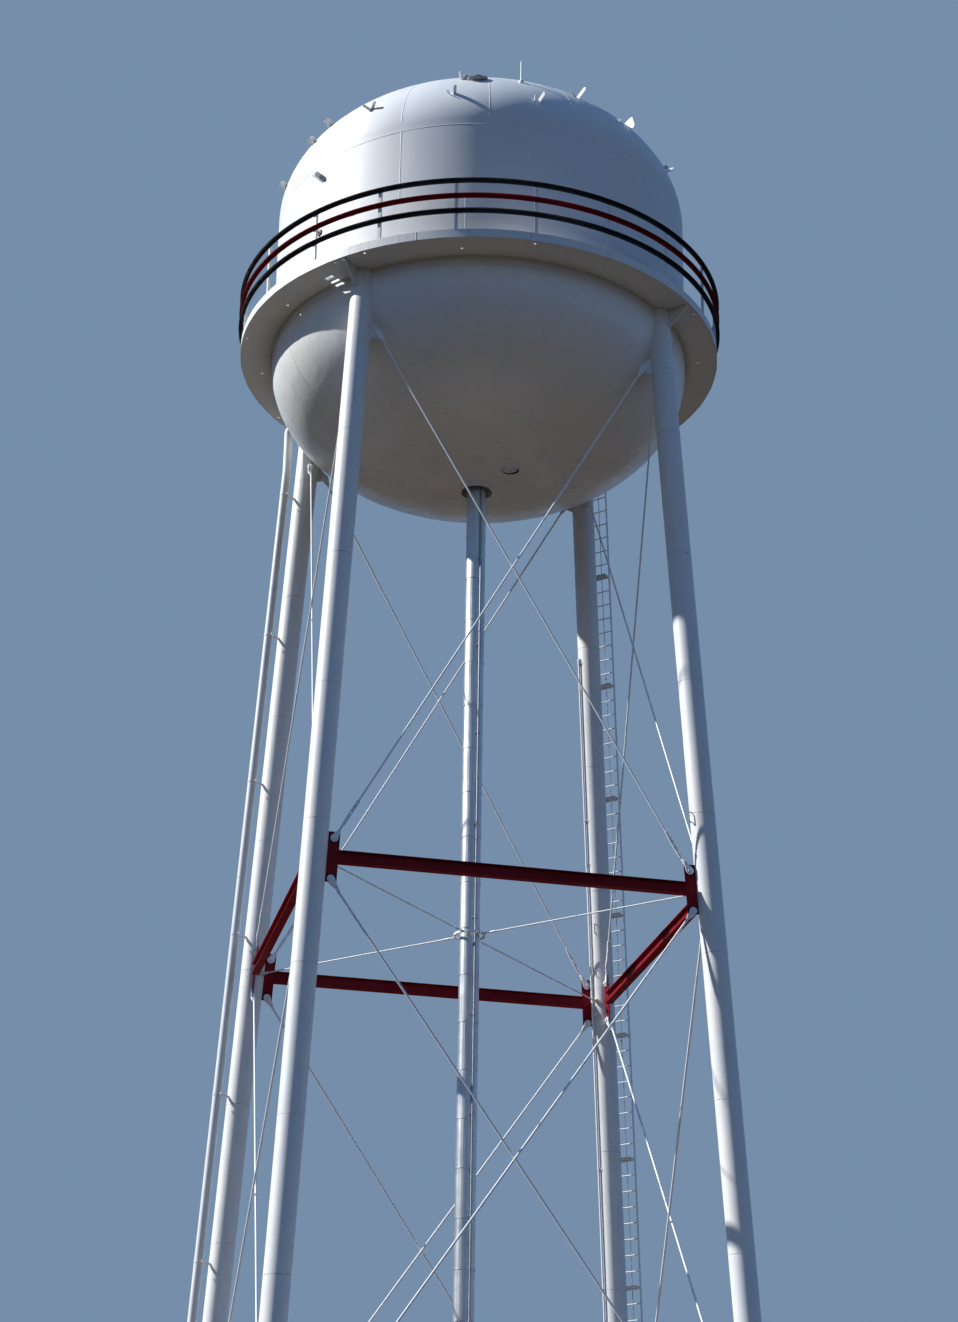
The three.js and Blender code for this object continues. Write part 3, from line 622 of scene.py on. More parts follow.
# Near-black painted shade: it stands for the unlit inside of the tank and of the manhole neck
PAINTED_SHADE_DARK = plain_finish("painted_shade_opening", (0.012, 0.011, 0.010),
                        (((8, 4), 0.4, 0.6, 1.0, (0.035, 0.025, 0.018)),), 0.8, (((60, 3), 0.4, 0.002),))


# Tank

def head_height(reach, centre, rise):
    """The height of a head's plate at a distance from the axis."""
    return centre + rise * math.sqrt(1 - (reach / TANK_RADIUS) ** 2)


def head_normal(reach, centre, rise):
    """The way out of a head's plate there, as (out, up)."""
    up = (head_height(reach, centre, rise) - centre) / rise ** 2
    return Vector((reach / TANK_RADIUS ** 2, up)).normalized()


def head(end, steps, centre, rise):
    """Points and outward normals of a head's outline, from the tank's side in to the end's radius."""
    angles = np.linspace(0, math.acos(end / TANK_RADIUS), steps)
    points = np.column_stack((TANK_RADIUS * np.cos(angles), centre + rise * np.sin(angles)))
    normals = np.column_stack((np.cos(angles) / TANK_RADIUS, np.sin(angles) / rise))
    return points, normals / np.linalg.norm(normals, axis=1)[:, None]


def gores(first, width):
    return [first + width * i for i in range(360 // width)]


def beside(azimuths, seam, radius, width):
    """1 on an upright seam, falling off to each side."""
    away = (azimuths - seam + 180) % 360 - 180
    return np.exp(-(np.radians(away) * radius / width) ** 2)


def pinch(azimuths, radius, seams, girth_distance):
    """How far the plate is drawn in by its welded seams, at one height all round."""
    depth = sum(beside(azimuths, seam, radius, PINCH["width"]) for seam in seams)
    depth += math.exp(-(girth_distance / PINCH["width"]) ** 2)
    return np.minimum(depth, PINCH["most"]) * PINCH["depth"]


def waviness(azimuths, radius, height, seams, girth_distance):
    """Shallow waves in the plates, from 0 to 1, that die out at the seams."""
    turn = np.radians(azimuths)
    wave = (np.sin(9 * turn + 2.1 * height) + np.sin(14 * turn - 3.7 * height + 1.0)
            + np.sin(23 * turn + 5.3 * height + 2.0)) / 3
    held = math.exp(-(girth_distance / WAVE["held"]) ** 2)
    for seam in seams:
        held = np.maximum(held, beside(azimuths, seam, radius, WAVE["held"]))
    return (1 + wave) / 2 * (1 - held)


def skin(outline, normals, seams, girths, wave):
    """The outside rows of a tank plate, drawn in at its seams. girths are (radius, height) of ring seams."""
    angles = np.linspace(0, TAU, TANK_SIDES, endpoint=False)
    azimuths = np.degrees(angles)
    rows = []
    for (radius, height), (out, up) in zip(outline, normals):
        if radius < 1e-6:
            rows.append([(0, 0, height)])
            continue
        nearest = min(math.hypot(radius - r, height - z) for r, z in girths)
        depth = pinch(azimuths, radius, seams, nearest)
        depth += wave * waviness(azimuths, radius, height, seams, nearest)
        reach = radius - depth * out
        rows.append(np.column_stack((reach * np.cos(angles), reach * np.sin(angles), height - depth * up)))
    return rows


def closed_plate(outer, outline, normals, *rim):
    """Closes the outside rows with a plain inside, a plate's thickness in, and with the rim of a hole."""
    inner = [ring(max(r - PLATE * out, 0), z - PLATE * up, TANK_SIDES)
             for (r, z), (out, up) in zip(outline, normals)]
    return loft([*outer, *inner[::-1], *rim], wrap=True)


def meridian_bead(outline, normals, azimuth, low, high, depth=PINCH["depth"]):
    """A weld up the tank's outline at one azimuth, between two heights."""
    keep = (outline[:, 1] >= low) & (outline[:, 1] <= high)
    turn = math.radians(azimuth)
    path, outward = (
        np.column_stack((rows[:, 0] * math.cos(turn), rows[:, 0] * math.sin(turn), rows[:, 1]))
        for rows in (outline[keep] - normals[keep] * depth, normals[keep]))
    return bead(path, outward, *BEADS["tank"])


def girth_bead(radius, height, normal, depth=PINCH["depth"], sides=TANK_SIDES):
    """A weld round the tank at one height."""
    out, up = normal
    path = ring(radius - depth * out, height - depth * up, sides)
    return bead(path, ring(out, up, sides), *BEADS["tank"], closed=True)


def make_roof():
    outline, normals = head(0, 72, *ROOF)
    outline[-1][0] = 0
    seams = gores(ROOF_SEAM, ROOF_GORE)
    crown = head_height(CROWN_RADIUS, *ROOF)
    rows = skin(outline, normals, seams, [(CROWN_RADIUS, crown), (TANK_RADIUS, EAVE_SEAM)], WAVE["tank"])
    forms = [closed_plate(rows, outline, normals)]
    forms += [meridian_bead(outline, normals, seam, EAVE + SEAM_END, crown) for seam in seams]
    forms.append(girth_bead(CROWN_RADIUS, crown, head_normal(CROWN_RADIUS, *ROOF), sides=120))
    piece("tank_dome", joined(*forms), TANK_WHITE, replaces=("tank_roof",), sharp=TANK_SHARP)


def make_shell():
    """Two courses of plates, the seams of one halfway between the other's."""
    heights = np.linspace(KNUCKLE + HAIR, EAVE - HAIR, 40)
    outline = np.column_stack((np.full(40, TANK_RADIUS), heights))
    normals = np.tile((1.0, 0.0), (40, 1))
    middle = (KNUCKLE + EAVE_SEAM) / 2
    seams = gores(SHELL_SEAM, SHELL_PLATE)
    girths = [(TANK_RADIUS, height) for height in (EAVE_SEAM, middle, KNUCKLE)]
    forms = [closed_plate(skin(outline, normals, seams, girths, WAVE["tank"]), outline, normals)]
    lower_sink = 0.002
    for seam in seams:
        forms.append(meridian_bead(outline, normals, seam, middle + SEAM_END, EAVE_SEAM))
        below = seam + SHELL_PLATE / 2
        forms.append(meridian_bead(outline, normals, below, KNUCKLE, middle - SEAM_END, lower_sink))
    forms += [girth_bead(TANK_RADIUS, height, (1, 0)) for height in (EAVE_SEAM, middle)]
    piece("tank_side", joined(*forms), TANK_WHITE, replaces=("tank_shell",), sharp=TANK_SHARP)


def make_bowl():
    outline, normals = (rows[::-1] for rows in head(FLAT_RADIUS, 64, *BOWL))
    low = head_height(BOWL_RING, *BOWL)
    seams = gores(BOWL_SEAM, BOWL_GORE)
    rows = skin(outline, normals, seams, [(BOWL_RING, low), (TANK_RADIUS, KNUCKLE)], WAVE["bowl"])
    rim = [ring(COLLAR["inner"], BOWL_LIP + z, TANK_SIDES) for z in (PLATE, 0)]
    forms = [closed_plate(rows, outline, normals, *rim)]
    forms += [meridian_bead(outline, normals, seam, low + SEAM_END, KNUCKLE - SEAM_END) for seam in seams]
    forms.append(girth_bead(BOWL_RING, low, head_normal(BOWL_RING, *BOWL), sides=160))
    piece("tank_bowl", joined(*forms), BOWL_WHITE, replaces=("tank_bottom",), sharp=TANK_SHARP)
    make_nozzle()


def make_nozzle():
    """The short manhole neck, nearly flush with the bowl, with a bolted cover set inside it, and near-black
    painted shade on the neck's inner wall and above the cover.
    """
    wall, low, high = NOZZLE["wall"], BOWL_LIP + NOZZLE["low"], BOWL_LIP + NOZZLE["high"]
    under = low + NOZZLE["set"]
    place = out_at(NOZZLE["azimuth"], NOZZLE["reach"])
    piece("manhole_neck", pipe(wall, NOZZLE["radius"], low, high, 48).moved(place), BOWL_WHITE, bevel=0.002)
    stud = bolt(BOLTS["cover"]).moved(Matrix.Rotation(math.pi, 4, "X")).at(NOZZLE["studs"], 0, under)
    bend = rounded([(-0.05, 0, 0), (-0.05, 0, -0.035), (0.05, 0, -0.035), (0.05, 0, 0)], 0.015)
    grip = tube(bend, 0.007, 10)
    lid = pipe(0, NOZZLE["cover"], under, under + NOZZLE["thickness"], 48)
    form = joined(lid, spun(stud, 14), grip.at(0, 0, under + 0.001))
    piece("manhole_cover", form.moved(place), ROD_WHITE, bevel=0.001)
    # The neck's inner wall and a disc just above the cover are near-black: painted shade for the dark inside
    # of the opening.
    liner = pipe(wall - 0.003, wall + 0.001, low + 0.004, low + 0.060, 48)
    ceiling = cylinder(wall - 0.001, low + 0.055, low + 0.065, 48)
    piece("manhole_painted_shade", joined(liner, ceiling).moved(place), PAINTED_SHADE_DARK)


def roof_frame(azimuth, reach):
    """On the roof: Z out of the plate, X down the slope."""
    out, up = head_normal(reach, *ROOF)
    return about_z(azimuth) @ frame_at((reach, 0, head_height(reach, *ROOF)), (up, 0, -out), (0, 1, 0))


def rigging_clip(kind):
    """A clip's legs, round-ended plates that stand on the XY plane."""
    forms = []
    for shift, width, tall, lean, facing in CLIP_KINDS[kind]:
        half = width / 2
        end = [(half * math.cos(a), tall - half + half * math.sin(a)) for a in np.linspace(0, math.pi, 9)]
        leg = plate([(-half, -0.03), (half, -0.03), *end], CLIP_THICKNESS).moved(OUTWARD).turned(facing)
        forms.append(leg.moved(Matrix.Rotation(math.radians(-lean), 4, "X")).at(0, shift, 0))
    return joined(*forms)


def make_roof_clips():
    forms = [rigging_clip(kind).moved(roof_frame(azimuth, reach)) for azimuth, reach, kind in CLIPS]
    on_shell = frame_at((TANK_RADIUS, 0, SHELL_CLIP["height"]), (0, 0, -1), (0, 1, 0))
    forms.append(rigging_clip(SHELL_CLIP["kind"]).moved(on_shell).turned(SHELL_CLIP["azimuth"]))
    outline = [(-0.18, 0.12), (-0.07, -0.06), (0.14, -0.06), (0.16, 0.0), *circle(0.05, 12, (0.06, 0.16))]
    place = roof_frame(EAR["azimuth"], EAR["reach"]).translation
    forms.append(plate(hull(outline), CLIP_THICKNESS).moved(
        frame_at(place, direction(EAR["facing"] + 90), UP)))
    piece("roof_clips", joined(*forms), TANK_WHITE, bevel=0.002)


def make_whip():
    height = WHIP["height"]
    mast = capped([(0.022, -0.06), (0.022, 0.09), (0.017, 0.10), (0.016, 0.3), (0.014, height - 0.02),
                   (0.008, height)], 20)
    foot, spread = 0.02, 0.036
    nuts = [bolt(BOLTS["whip"]).at(spread * math.cos(a), spread * math.sin(a), foot)
            for a in (0.8, 2.4, 3.9, 5.5)]
    form = joined(mast, cylinder(0.05, -0.03, foot), *nuts)
    place = out_at(WHIP["azimuth"], WHIP["reach"], head_height(WHIP["reach"], *ROOF))
    piece("whip_mast", form.moved(place), ROD_WHITE, replaces=("whip_antenna",), bevel=0.0015)


def make_hatch():
    place = roof_frame(HATCH["azimuth"], HATCH["reach"])
    wall, neck, lid = HATCH["wall"], HATCH["neck"], HATCH["lid"]
    piece("hatch_neck", pipe(wall, neck, -0.08, 0.046, 48).moved(place), TANK_WHITE)
    under = neck + 0.008
    cover = lathe([(0, 0.042), (under, 0.042), (under, 0.020), (lid, 0.020), (lid, 0.048), (0.12, 0.060),
                   (0, 0.064)], 48)
    hinge = cylinder(0.010, -0.06, 0.06, 16).moved(frame_at((-0.195, 0, 0.045), (1, 0, 0), (0, 0, -1)))
    strap = block(0.13, 0.05, 0.008).at(-0.14, 0, 0.062)
    grip = [(0.08, -0.05, 0.055), (0.08, -0.05, 0.095), (0.08, 0.05, 0.095), (0.08, 0.05, 0.055)]
    form = joined(cover, hinge, strap, tube(rounded(grip, 0.015), 0.006, 10))
    piece("hatch_lid", form.moved(place), HATCH_GREY, replaces=("roof_hatch",),
          bevel=0.0015)


def make_shell_disc():
    """The small blanked fitting on the side of the shell."""
    radius = SHELL_DISC["radius"]
    disc = lathe([(0, 0), (radius, 0), (radius, 0.030), (radius * 0.9, 0.036), (0, 0.036)], 36)
    place = out_at(SHELL_DISC["azimuth"], TANK_RADIUS - 0.01, SHELL_DISC["height"]) @ OUTWARD
    form = joined(disc, hexagon(0.05, 0.02).at(0, 0, 0.036))
    piece("shell_fitting", form.moved(place), HATCH_GREY, bevel=0.0015)


# Balcony

def make_balcony():
    repaint(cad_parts["balcony_floor"], FLOOR_PAINT_AND_FILL)
    make_floor_seams()
    make_edge()
    for name, underside in RAILS.items():
        make_rail(name, underside)


def make_floor_seams():
    """Welded seams under the floor, out from the tank to its edge and round the tank."""
    path = [(reach, 0, FLOOR) for reach in np.linspace(TANK_RADIUS + 0.02, EDGE["inner"], 8)]
    seam = bead(path, [(0, 0, -1)] * 8, *BEADS["floor"])
    under = ring(TANK_RADIUS + 0.004, FLOOR - 0.004, TANK_SIDES)
    corner = bead(under, ring(1, -1, TANK_SIDES) / math.sqrt(2), *BEADS["corner"], closed=True)
    seams = spun(seam, FLOOR_SEAMS["count"], FLOOR_SEAMS["first"])
    piece("floor_welds", joined(seams, corner), FLOOR_PAINT_AND_FILL)


def make_edge():
    """The edge plate, in lengths as long as two of the floor's, and its angle posts."""
    width, thick, outer = POST["width"], POST["thickness"], EDGE["outer"]
    top = FLOOR + EDGE["height"]
    height = POST["top"] - FLOOR_TOP
    section = [(0, 0), (-width, 0), (-width, -thick), (-thick, -thick), (-thick, -width), (0, -width)]
    post = plate(section, height).at(POST["outer"], width / 2, FLOOR_TOP + height / 2)
    joint = [(outer, 0, z) for z in np.linspace(FLOOR + 0.004, top - 0.004, 10)]
    foot = [(POST["outer"] - x, width / 2 + 0.004, FLOOR_TOP) for x in (0.07, 0.0)]
    weld = bead(joint, [(1, 0, 0)] * 10, *BEADS["edge"])
    forms = [pipe(EDGE["inner"], outer, FLOOR, top, RING_SIDES),
             spun(post, POST["count"], POST["first"]),
             spun(weld, FLOOR_SEAMS["count"] // 2, FLOOR_SEAMS["first"]),
             spun(bead(foot, [UP] * 2, *BEADS["post"]), POST["count"], POST["first"])]
    piece("balcony_kerb", joined(*forms), BALCONY_WHITE, replaces=("balcony_edge",), bevel=0.0012)


def make_rail(name, underside):
    """An angle all round, bolted to each post, with splice plates."""
    inner, leg, thick = RAIL["inner"], RAIL["leg"], RAIL["thickness"]
    top = underside + leg
    section = [(inner, underside), (inner + thick, underside), (inner + thick, top - thick),
               (inner + leg, top - thick), (inner + leg, top), (inner, top)]
    face = Matrix.Translation((inner + thick, 0, underside + leg * RAIL["gauge"])) @ OUTWARD
    stud = bolt(BOLTS["rail"])
    forms = [lathe(section, RING_SIDES)]
    for across in RAIL["bolts"]:
        forms.append(spun(stud.at(across, 0, 0).moved(face), POST["count"], POST["first"]))
    splice = block(SPLICE["length"], leg * 0.8, SPLICE["thickness"]).at(0, 0, SPLICE["thickness"] / 2)
    studs = [stud.at(across, 0, SPLICE["thickness"]) for across in SPLICE["bolts"]]
    forms.append(spun(joined(splice, *studs).moved(face), SPLICE["count"], SPLICE["first"]))
    material, slot = (RED, "red_paint") if name == "middle" else (BLACK, "black_paint")
    piece(f"handrail_{name}", joined(*forms), material, replaces=(f"rail_{name}",), bevel=0.001)


# Columns, each drawn as the front-left one and turned into its corner

def offset(height):
    """Half the distance between two columns' axes."""
    return FOOT_HALF - height * BATTER


def column_axis(height):
    return np.array((-offset(height), -offset(height), height))


def inside_tank(point):
    """True where a point under the floor is inside the bowl or the shell."""
    reach = math.hypot(point[0], point[1])
    return reach < TANK_RADIUS and point[2] > head_height(reach, *BOWL)


def cope_bead():
    """The weld where the column meets the bowl and the shell."""
    path, outward = [], []
    for angle in np.linspace(0, TAU, COPE["steps"]):
        out = np.array((math.cos(angle), math.sin(angle), 0))
        low, high = COPE["below"], FLOOR - 0.002
        if not inside_tank(column_axis(high) + COLUMN_RADIUS * out):
            continue
        for _ in range(COPE["halvings"]):
            middle = (low + high) / 2
            inside = inside_tank(column_axis(middle) + COLUMN_RADIUS * out)
            low, high = (low, middle) if inside else (middle, high)
        point = column_axis(high) + COLUMN_RADIUS * out
        path.append(point)
        reach = math.hypot(point[0], point[1])
        away, up = head_normal(reach, *BOWL) if point[2] < KNUCKLE else (1, 0)
        normal = out + np.array((away * point[0] / reach, away * point[1] / reach, up))
        outward.append(normal / np.linalg.norm(normal))
    order = np.argsort([math.atan2(p[1] + offset(FLOOR), p[0] + offset(FLOOR)) for p in path])
    return bead(np.array(path)[order], np.array(outward)[order], *BEADS["cope"])


def girth_weld(height):
    outward = ring(1, 0, COLUMN_SIDES)
    path = column_axis(height) + COLUMN_RADIUS * outward
    return bead(path, outward, *BEADS["girth"], closed=True, uneven=0.35)


def lug_plate(name, pin):
    """A plate with a round nose about its pin, standing in the XZ plane."""
    root, low, high, radius, thickness = LUGS[name]
    outline = hull([(root, low), (root, high), *circle(radius, 28, (pin, 0))])
    return plate(outline, thickness).moved(UPRIGHT)


def balcony_bracket():
    """A triangular plate with a flange down its sloping edge, out along -X from the column's axis."""
    toe, heel, drop, root = (BRACKET[key] for key in ("toe", "heel", "drop", "root"))
    reach = EDGE["inner"] - BRACKET["inset"] - math.sqrt(2) * offset(FLOOR)
    web = plate([(-root, -HAIR), (-reach, -HAIR), (-reach, -toe), (-heel, -drop), (-root, -drop)],
                BRACKET["thickness"])
    start, end = Vector((-reach + 0.005, -toe, 0)), Vector((-heel - 0.02, -drop + 0.005, 0))
    along = end - start
    flange = block(along.length, 0.010, 0.075).moved(
        frame_at((start + end) / 2, along, (-along.y, along.x, 0)))
    return joined(web, flange).moved(UPRIGHT)


def column_fittings(bracket):
    x, y, _ = column_axis(0)
    forms = [block(BASE["width"], BASE["width"], BASE["thickness"]).at(x, y, BASE["thickness"] / 2)]
    wide, narrow, high = FIN["width"] / 2, FIN["top"] / 2, FIN["height"]
    fin = plate([(-wide, 0.01), (wide, 0.01), (narrow, high), (-narrow, high)], FIN["thickness"])
    top_lug, foot_lug = lug_plate("top", PIN["top"]), lug_plate("foot", PIN["foot"])
    for turn in (0, 90):
        for form, height in ((fin.moved(UPRIGHT), 0), (top_lug, TOP_PIN), (foot_lug, FOOT_PIN)):
            forms.append(form.turned(turn).at(*column_axis(height)))
    tie_lug = lug_plate("tie", TIE["pin"]).turned(45)
    forms += [tie_lug.at(*column_axis(level)) for level in LEVELS.values()]
    if bracket:
        forms.append(balcony_bracket().turned(45).at(*column_axis(FLOOR)))
    return forms


def make_columns():
    welds = []
    for i, corner in enumerate(CORNERS):
        heights = [*np.arange(0.02, FLOOR - 0.2, 0.8), FLOOR - HAIR]
        rows = [ring(COLUMN_RADIUS, 0, COLUMN_SIDES) + column_axis(z) for z in heights]
        forms = [loft(rows, caps=True), cope_bead(), *column_fittings(bracket=corner != "back_right")]
        seams = np.arange(GIRTH_SEAMS[corner], GIRTH_TOP, GIRTH_SPACING)
        welds.append(joined(*(girth_weld(height) for height in seams)).turned(90 * i))
        piece(f"{corner}_leg", joined(*forms).turned(90 * i), COLUMN_WHITE, replaces=(f"column_{corner}",),
              bevel=0.003)
    piece("column_welds", joined(*welds), WELD)
    make_anchor_bolts()
    make_handle_loops()


def make_anchor_bolts():
    stud, out = bolt(BOLTS["anchor"], reach=0.085), BASE["bolt"]
    corner = [stud.at(-FOOT_HALF + x * out, -FOOT_HALF + y * out, BASE["thickness"])
              for x, y in product((-1, 1), repeat=2)]
    riser = bolt(BOLTS["riser"], reach=0.06).at(RISER_BASE["bolt"], 0, RISER_BASE["height"])
    piece("anchor_bolts", joined(spun(joined(*corner), 4), spun(riser, 8, 22.5)), STEEL, bevel=0.0015)


def make_handle_loops():
    """Small U-shaped handles welded to two of the columns, in the dark fastener steel rather than the
    columns' white.
    """
    foot, reach = HANDLE["foot"], HANDLE["reach"]
    forms = []
    for corner, facing, low, high in HANDLES:
        out, turn = np.array(direction(facing)), np.array(about_z(90 * corner).to_3x3())
        points = [turn @ column_axis(z) + out * away
                  for z, away in ((low, foot), (low, reach), (high, reach), (high, foot))]
        forms.append(tube(rounded(points, HANDLE["bend"]), HANDLE["radius"], 10))
    piece("column_handles", joined(*forms), STEEL)


# Struts and tie rods

def make_struts():
    for level, side in product(LEVELS, FACES):
        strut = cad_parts[f"strut_{level}_{side}"]
        repaint(strut, RED)
        soften(strut, 0.0025)
    forms = []
    for height in LEVELS.values():
        half = offset(height)
        for end, reach, rise, out in product((-1, 1), STRUT_BOLTS["reaches"], STRUT_BOLTS["rises"], (-1, 1)):
            where = (end * (half - reach), -half + out * GUSSET / 2, height + rise)
            forms.append(bolt(BOLTS["strut"]).moved(frame_at(where, (out, 0, 0), UP)))
    piece("strut_bolts", spun(joined(*forms), 4), RED, bevel=0.001)


def rod_ends(panel):
    """Heights and reaches of the low and high pins of a panel's rods."""
    lower, upper = LEVELS["lower"], LEVELS["upper"]
    return {
        "bottom": (FOOT_PIN, PIN["foot"], lower - PIN["below"], PIN["reach"]),
        "middle": (lower + PIN["above"], PIN["reach"], upper - PIN["below"], PIN["reach"]),
        "top": (upper + PIN["above"], PIN["reach"], TOP_PIN, PIN["top"]),
    }[panel]


def fork_end(rod_radius, plate_side):
    """A forged fork: round eyes about the plate, which lies that far along Y, and a neck up Z to the rod."""
    thick, crotch, neck = FORK["thickness"], FORK["crotch"], FORK["neck"]
    out = GUSSET / 2 + FORK["clear"] + thick / 2
    cheek = plate(hull([*circle(EYE["radius"], 32), (-neck, crotch + 0.02), (neck, crotch + 0.02)]), thick)
    forms = [cheek.moved(UPRIGHT).at(0, plate_side + side * out, 0) for side in (-1, 1)]
    reach, rod = out + thick / 2, rod_radius * 1.15
    rows = []
    for x, middle, y, z in ((neck, plate_side, reach, crotch), (neck, plate_side, reach, crotch + 0.03),
                            (rod, 0, rod, EYE["taper"])):
        rows.append([(-x, middle - y, z), (x, middle - y, z), (x, middle + y, z), (-x, middle + y, z)])
    return joined(*forms, loft(rows, caps=True))


def turnbuckle(rod_radius):
    start, end, boss, radius = (TURNBUCKLE[key] for key in ("start", "end", "boss", "radius"))
    forms = [cylinder(radius, start, start + boss, 20), cylinder(radius, end - boss, end, 20)]
    bar, nut = block(0.014, 0.030, end - start - boss), hexagon(rod_radius * 3.1, 0.030)
    forms += [bar.at(side * (radius - 0.007), 0, (start + end) / 2) for side in (-1, 1)]
    return joined(*forms, nut.at(0, 0, start - 0.032), nut.at(0, 0, end + 0.002))


def tie_rod(length, radius, plate_side):
    """One rod along Z from its lower fork at the origin; the plates are that far along Y."""
    gap = (TURNBUCKLE["start"] + TURNBUCKLE["end"]) / 2
    top = Matrix.Translation((0, 0, length)) @ Matrix.Rotation(math.pi, 4, "X")
    return joined(
        fork_end(radius, plate_side),
        fork_end(radius, -plate_side).moved(top),
        cylinder(radius, EYE["taper"] - 0.02, gap - 0.02, ROD_SIDES),
        cylinder(radius, gap + 0.02, length - EYE["taper"] + 0.02, ROD_SIDES),
        turnbuckle(radius))


def rod_pin(place, outward):
    """A round-headed pin through the plate and the fork about it, with a washer and a nut at its far end."""
    across = Vector(outward).orthogonal()
    reach = GUSSET / 2 + FORK["clear"] + FORK["thickness"]
    form = joined(
        cylinder(ROD_PIN["radius"], -reach - ROD_PIN["end"], reach, 20),
        capped([(0.040, reach), (0.042, reach + 0.008), (0.036, reach + 0.014)], 28),
        cylinder(ROD_PIN["washer"], -reach - 0.006, -reach),
        hexagon(ROD_PIN["nut"], 0.020).at(0, 0, -reach - 0.026))
    return form.moved(frame_at(place, across, Vector(outward).cross(across)))


def face_rods(panel):
    """The crossed rods and pins of one panel of the front face."""
    low, low_reach, high, high_reach = rod_ends(panel)
    clear = GUSSET / 2 + EYE["thickness"] / 2 + HAIR
    outward = Vector((0, -1, BATTER)).normalized()
    rods, pins = [], []
    for side in (-1, 1):
        start = Vector((side * (offset(low) - low_reach), -offset(low), low))
        end = Vector((-side * (offset(high) - high_reach), -offset(high), high))
        along = end - start
        place = frame_at(start - outward * side * clear, outward.cross(along), outward)
        rods.append(tie_rod(along.length, ROD_RADIUS[panel], side * clear).moved(place))
        pins += [rod_pin(start, outward), rod_pin(end, outward)]
    return rods, pins


def make_braces():
    pins = []
    for (i, side), panel in product(enumerate(FACES), PANELS):
        rods, rod_pins = face_rods(panel)
        pins += [pin.turned(90 * i) for pin in rod_pins]
        piece(f"tie_rods_{panel}_{side}", joined(*rods).turned(90 * i), ROD_WHITE,
              replaces=[f"brace_{panel}_{side}_{letter}" for letter in "ab"], bevel=0.002)
    piece("tie_rod_pins", joined(*pins), ROD_WHITE, bevel=0.0012)


# Riser

def make_riser():
    """Lapped jacket sheets with straps, each sheet tucked under the one above."""
    top, first, base = BOWL_LIP - 0.001, RISER_BASE["jacket"], RISER_BASE["height"]
    skirt = RISER_RADIUS + 0.02
    outline = [(0, 0), (RISER_BASE["radius"], 0), (RISER_BASE["radius"], base), (skirt, base), (skirt, first)]
    seams = [first + SHEET * i for i in range(int((top - first) / SHEET) + 1)]
    sheets = list(zip(seams, seams[1:] + [top]))
    for low, high in sheets:
        outline += [(RISER_RADIUS + 0.0015, low), (RISER_RADIUS - 0.0015, high)]
    forms = [lathe([*outline, (0, top)], RISER_SIDES)]
    inner, outer, tall = RISER_RADIUS - 0.002, RISER_RADIUS + STRAP["stand"], STRAP["height"]
    for i, height in enumerate(seams[1:]):
        strap = [(inner, height), (outer, height + 0.002), (outer, height + tall - 0.002),
                 (inner, height + tall)]
        buckle = block(*STRAP["buckle"]).at(RISER_RADIUS + 0.004, 0, height + tall / 2)
        forms += [lathe(strap, RISER_SIDES), buckle.turned(STRAP["first"] + STRAP["turn"] * i)]
    for i, (low, high) in enumerate(sheets):
        lap = block(0.004, LAP["width"], high - low - 0.03).at(RISER_RADIUS - 0.0005, 0, (low + high) / 2)
        forms.append(lap.turned(LAP["first"] + (i % 2) * LAP["turn"]))
    piece("riser_jacket", joined(*forms), JACKET, replaces=("riser_pipe",), bevel=0.0008)


def make_collar():
    """The ring hung round the riser where it enters the bowl, the sleeve above it, and a near-black disc at
    the sleeve's top as painted shade for the tank's unlit inside.
    """
    outer, inner, height, sleeve = (COLLAR[key] for key in ("outer", "inner", "height", "sleeve"))
    low, top = BOWL_LIP - height, BOWL_LIP + sleeve
    wall = pipe(inner, outer, low, BOWL_LIP + 0.004, RISER_SIDES)
    lip = pipe(inner, outer + 0.010, low - 0.004, low + 0.010, RISER_SIDES)
    joint = girth_bead(outer, BOWL_LIP - 0.002, (0.8, -0.6), 0, RISER_SIDES)
    piece("riser_collar_ring", joined(wall, lip, joint), BOWL_WHITE, replaces=("riser_collar",), bevel=0.002)
    piece("collar_throat", pipe(inner - 0.002, inner + 0.004, BOWL_LIP + 0.002, top, RISER_SIDES), ROD_WHITE)
    # A near-black disc at the sleeve's top: painted shade for the unlit inside of the tank.
    piece("collar_painted_shade", cylinder(inner + 0.004, top, top + 0.012, RISER_SIDES), PAINTED_SHADE_DARK)


def make_riser_ties():
    """A ring round the riser at each level of struts, with a rod from it to each column."""
    outer, half = TIE_RING["outer"], TIE_RING["height"] / 2
    for name, level in LEVELS.items():
        end = math.sqrt(2) * offset(level) - TIE["pin"]
        eye = plate(hull([*circle(TIE["eye"], 24), (-0.014, -0.13), (0.014, -0.13)]), 0.028)
        arm = joined(
            cylinder(TIE["radius"], outer - 0.02, end - 0.11, 14),
            *(hexagon(0.044, 0.022).at(0, 0, outer + rise) for rise in (0.002, 0.028)),
            cylinder(0.030, outer - 0.016, outer + 0.001, 20),
            cylinder(0.020, outer + 0.14, outer + 0.26, 16),
            eye.moved(UPRIGHT).at(0, 0, end),
            cylinder(0.014, -0.045, 0.024, 16).moved(UPRIGHT).at(0, 0, end))
        hoop = pipe(TIE_RING["inner"], outer, level - half, level + half, 64)
        form = joined(hoop, spun(arm.moved(OUTWARD).at(0, TIE["beside"], level), 4, 45))
        nodes = [f"riser_ring_{name}", f"riser_tie_{name}_front_right", f"riser_tie_{name}_back_left"]
        piece(f"riser_ties_{name}", form, ROD_WHITE, replaces=nodes, bevel=0.0012)


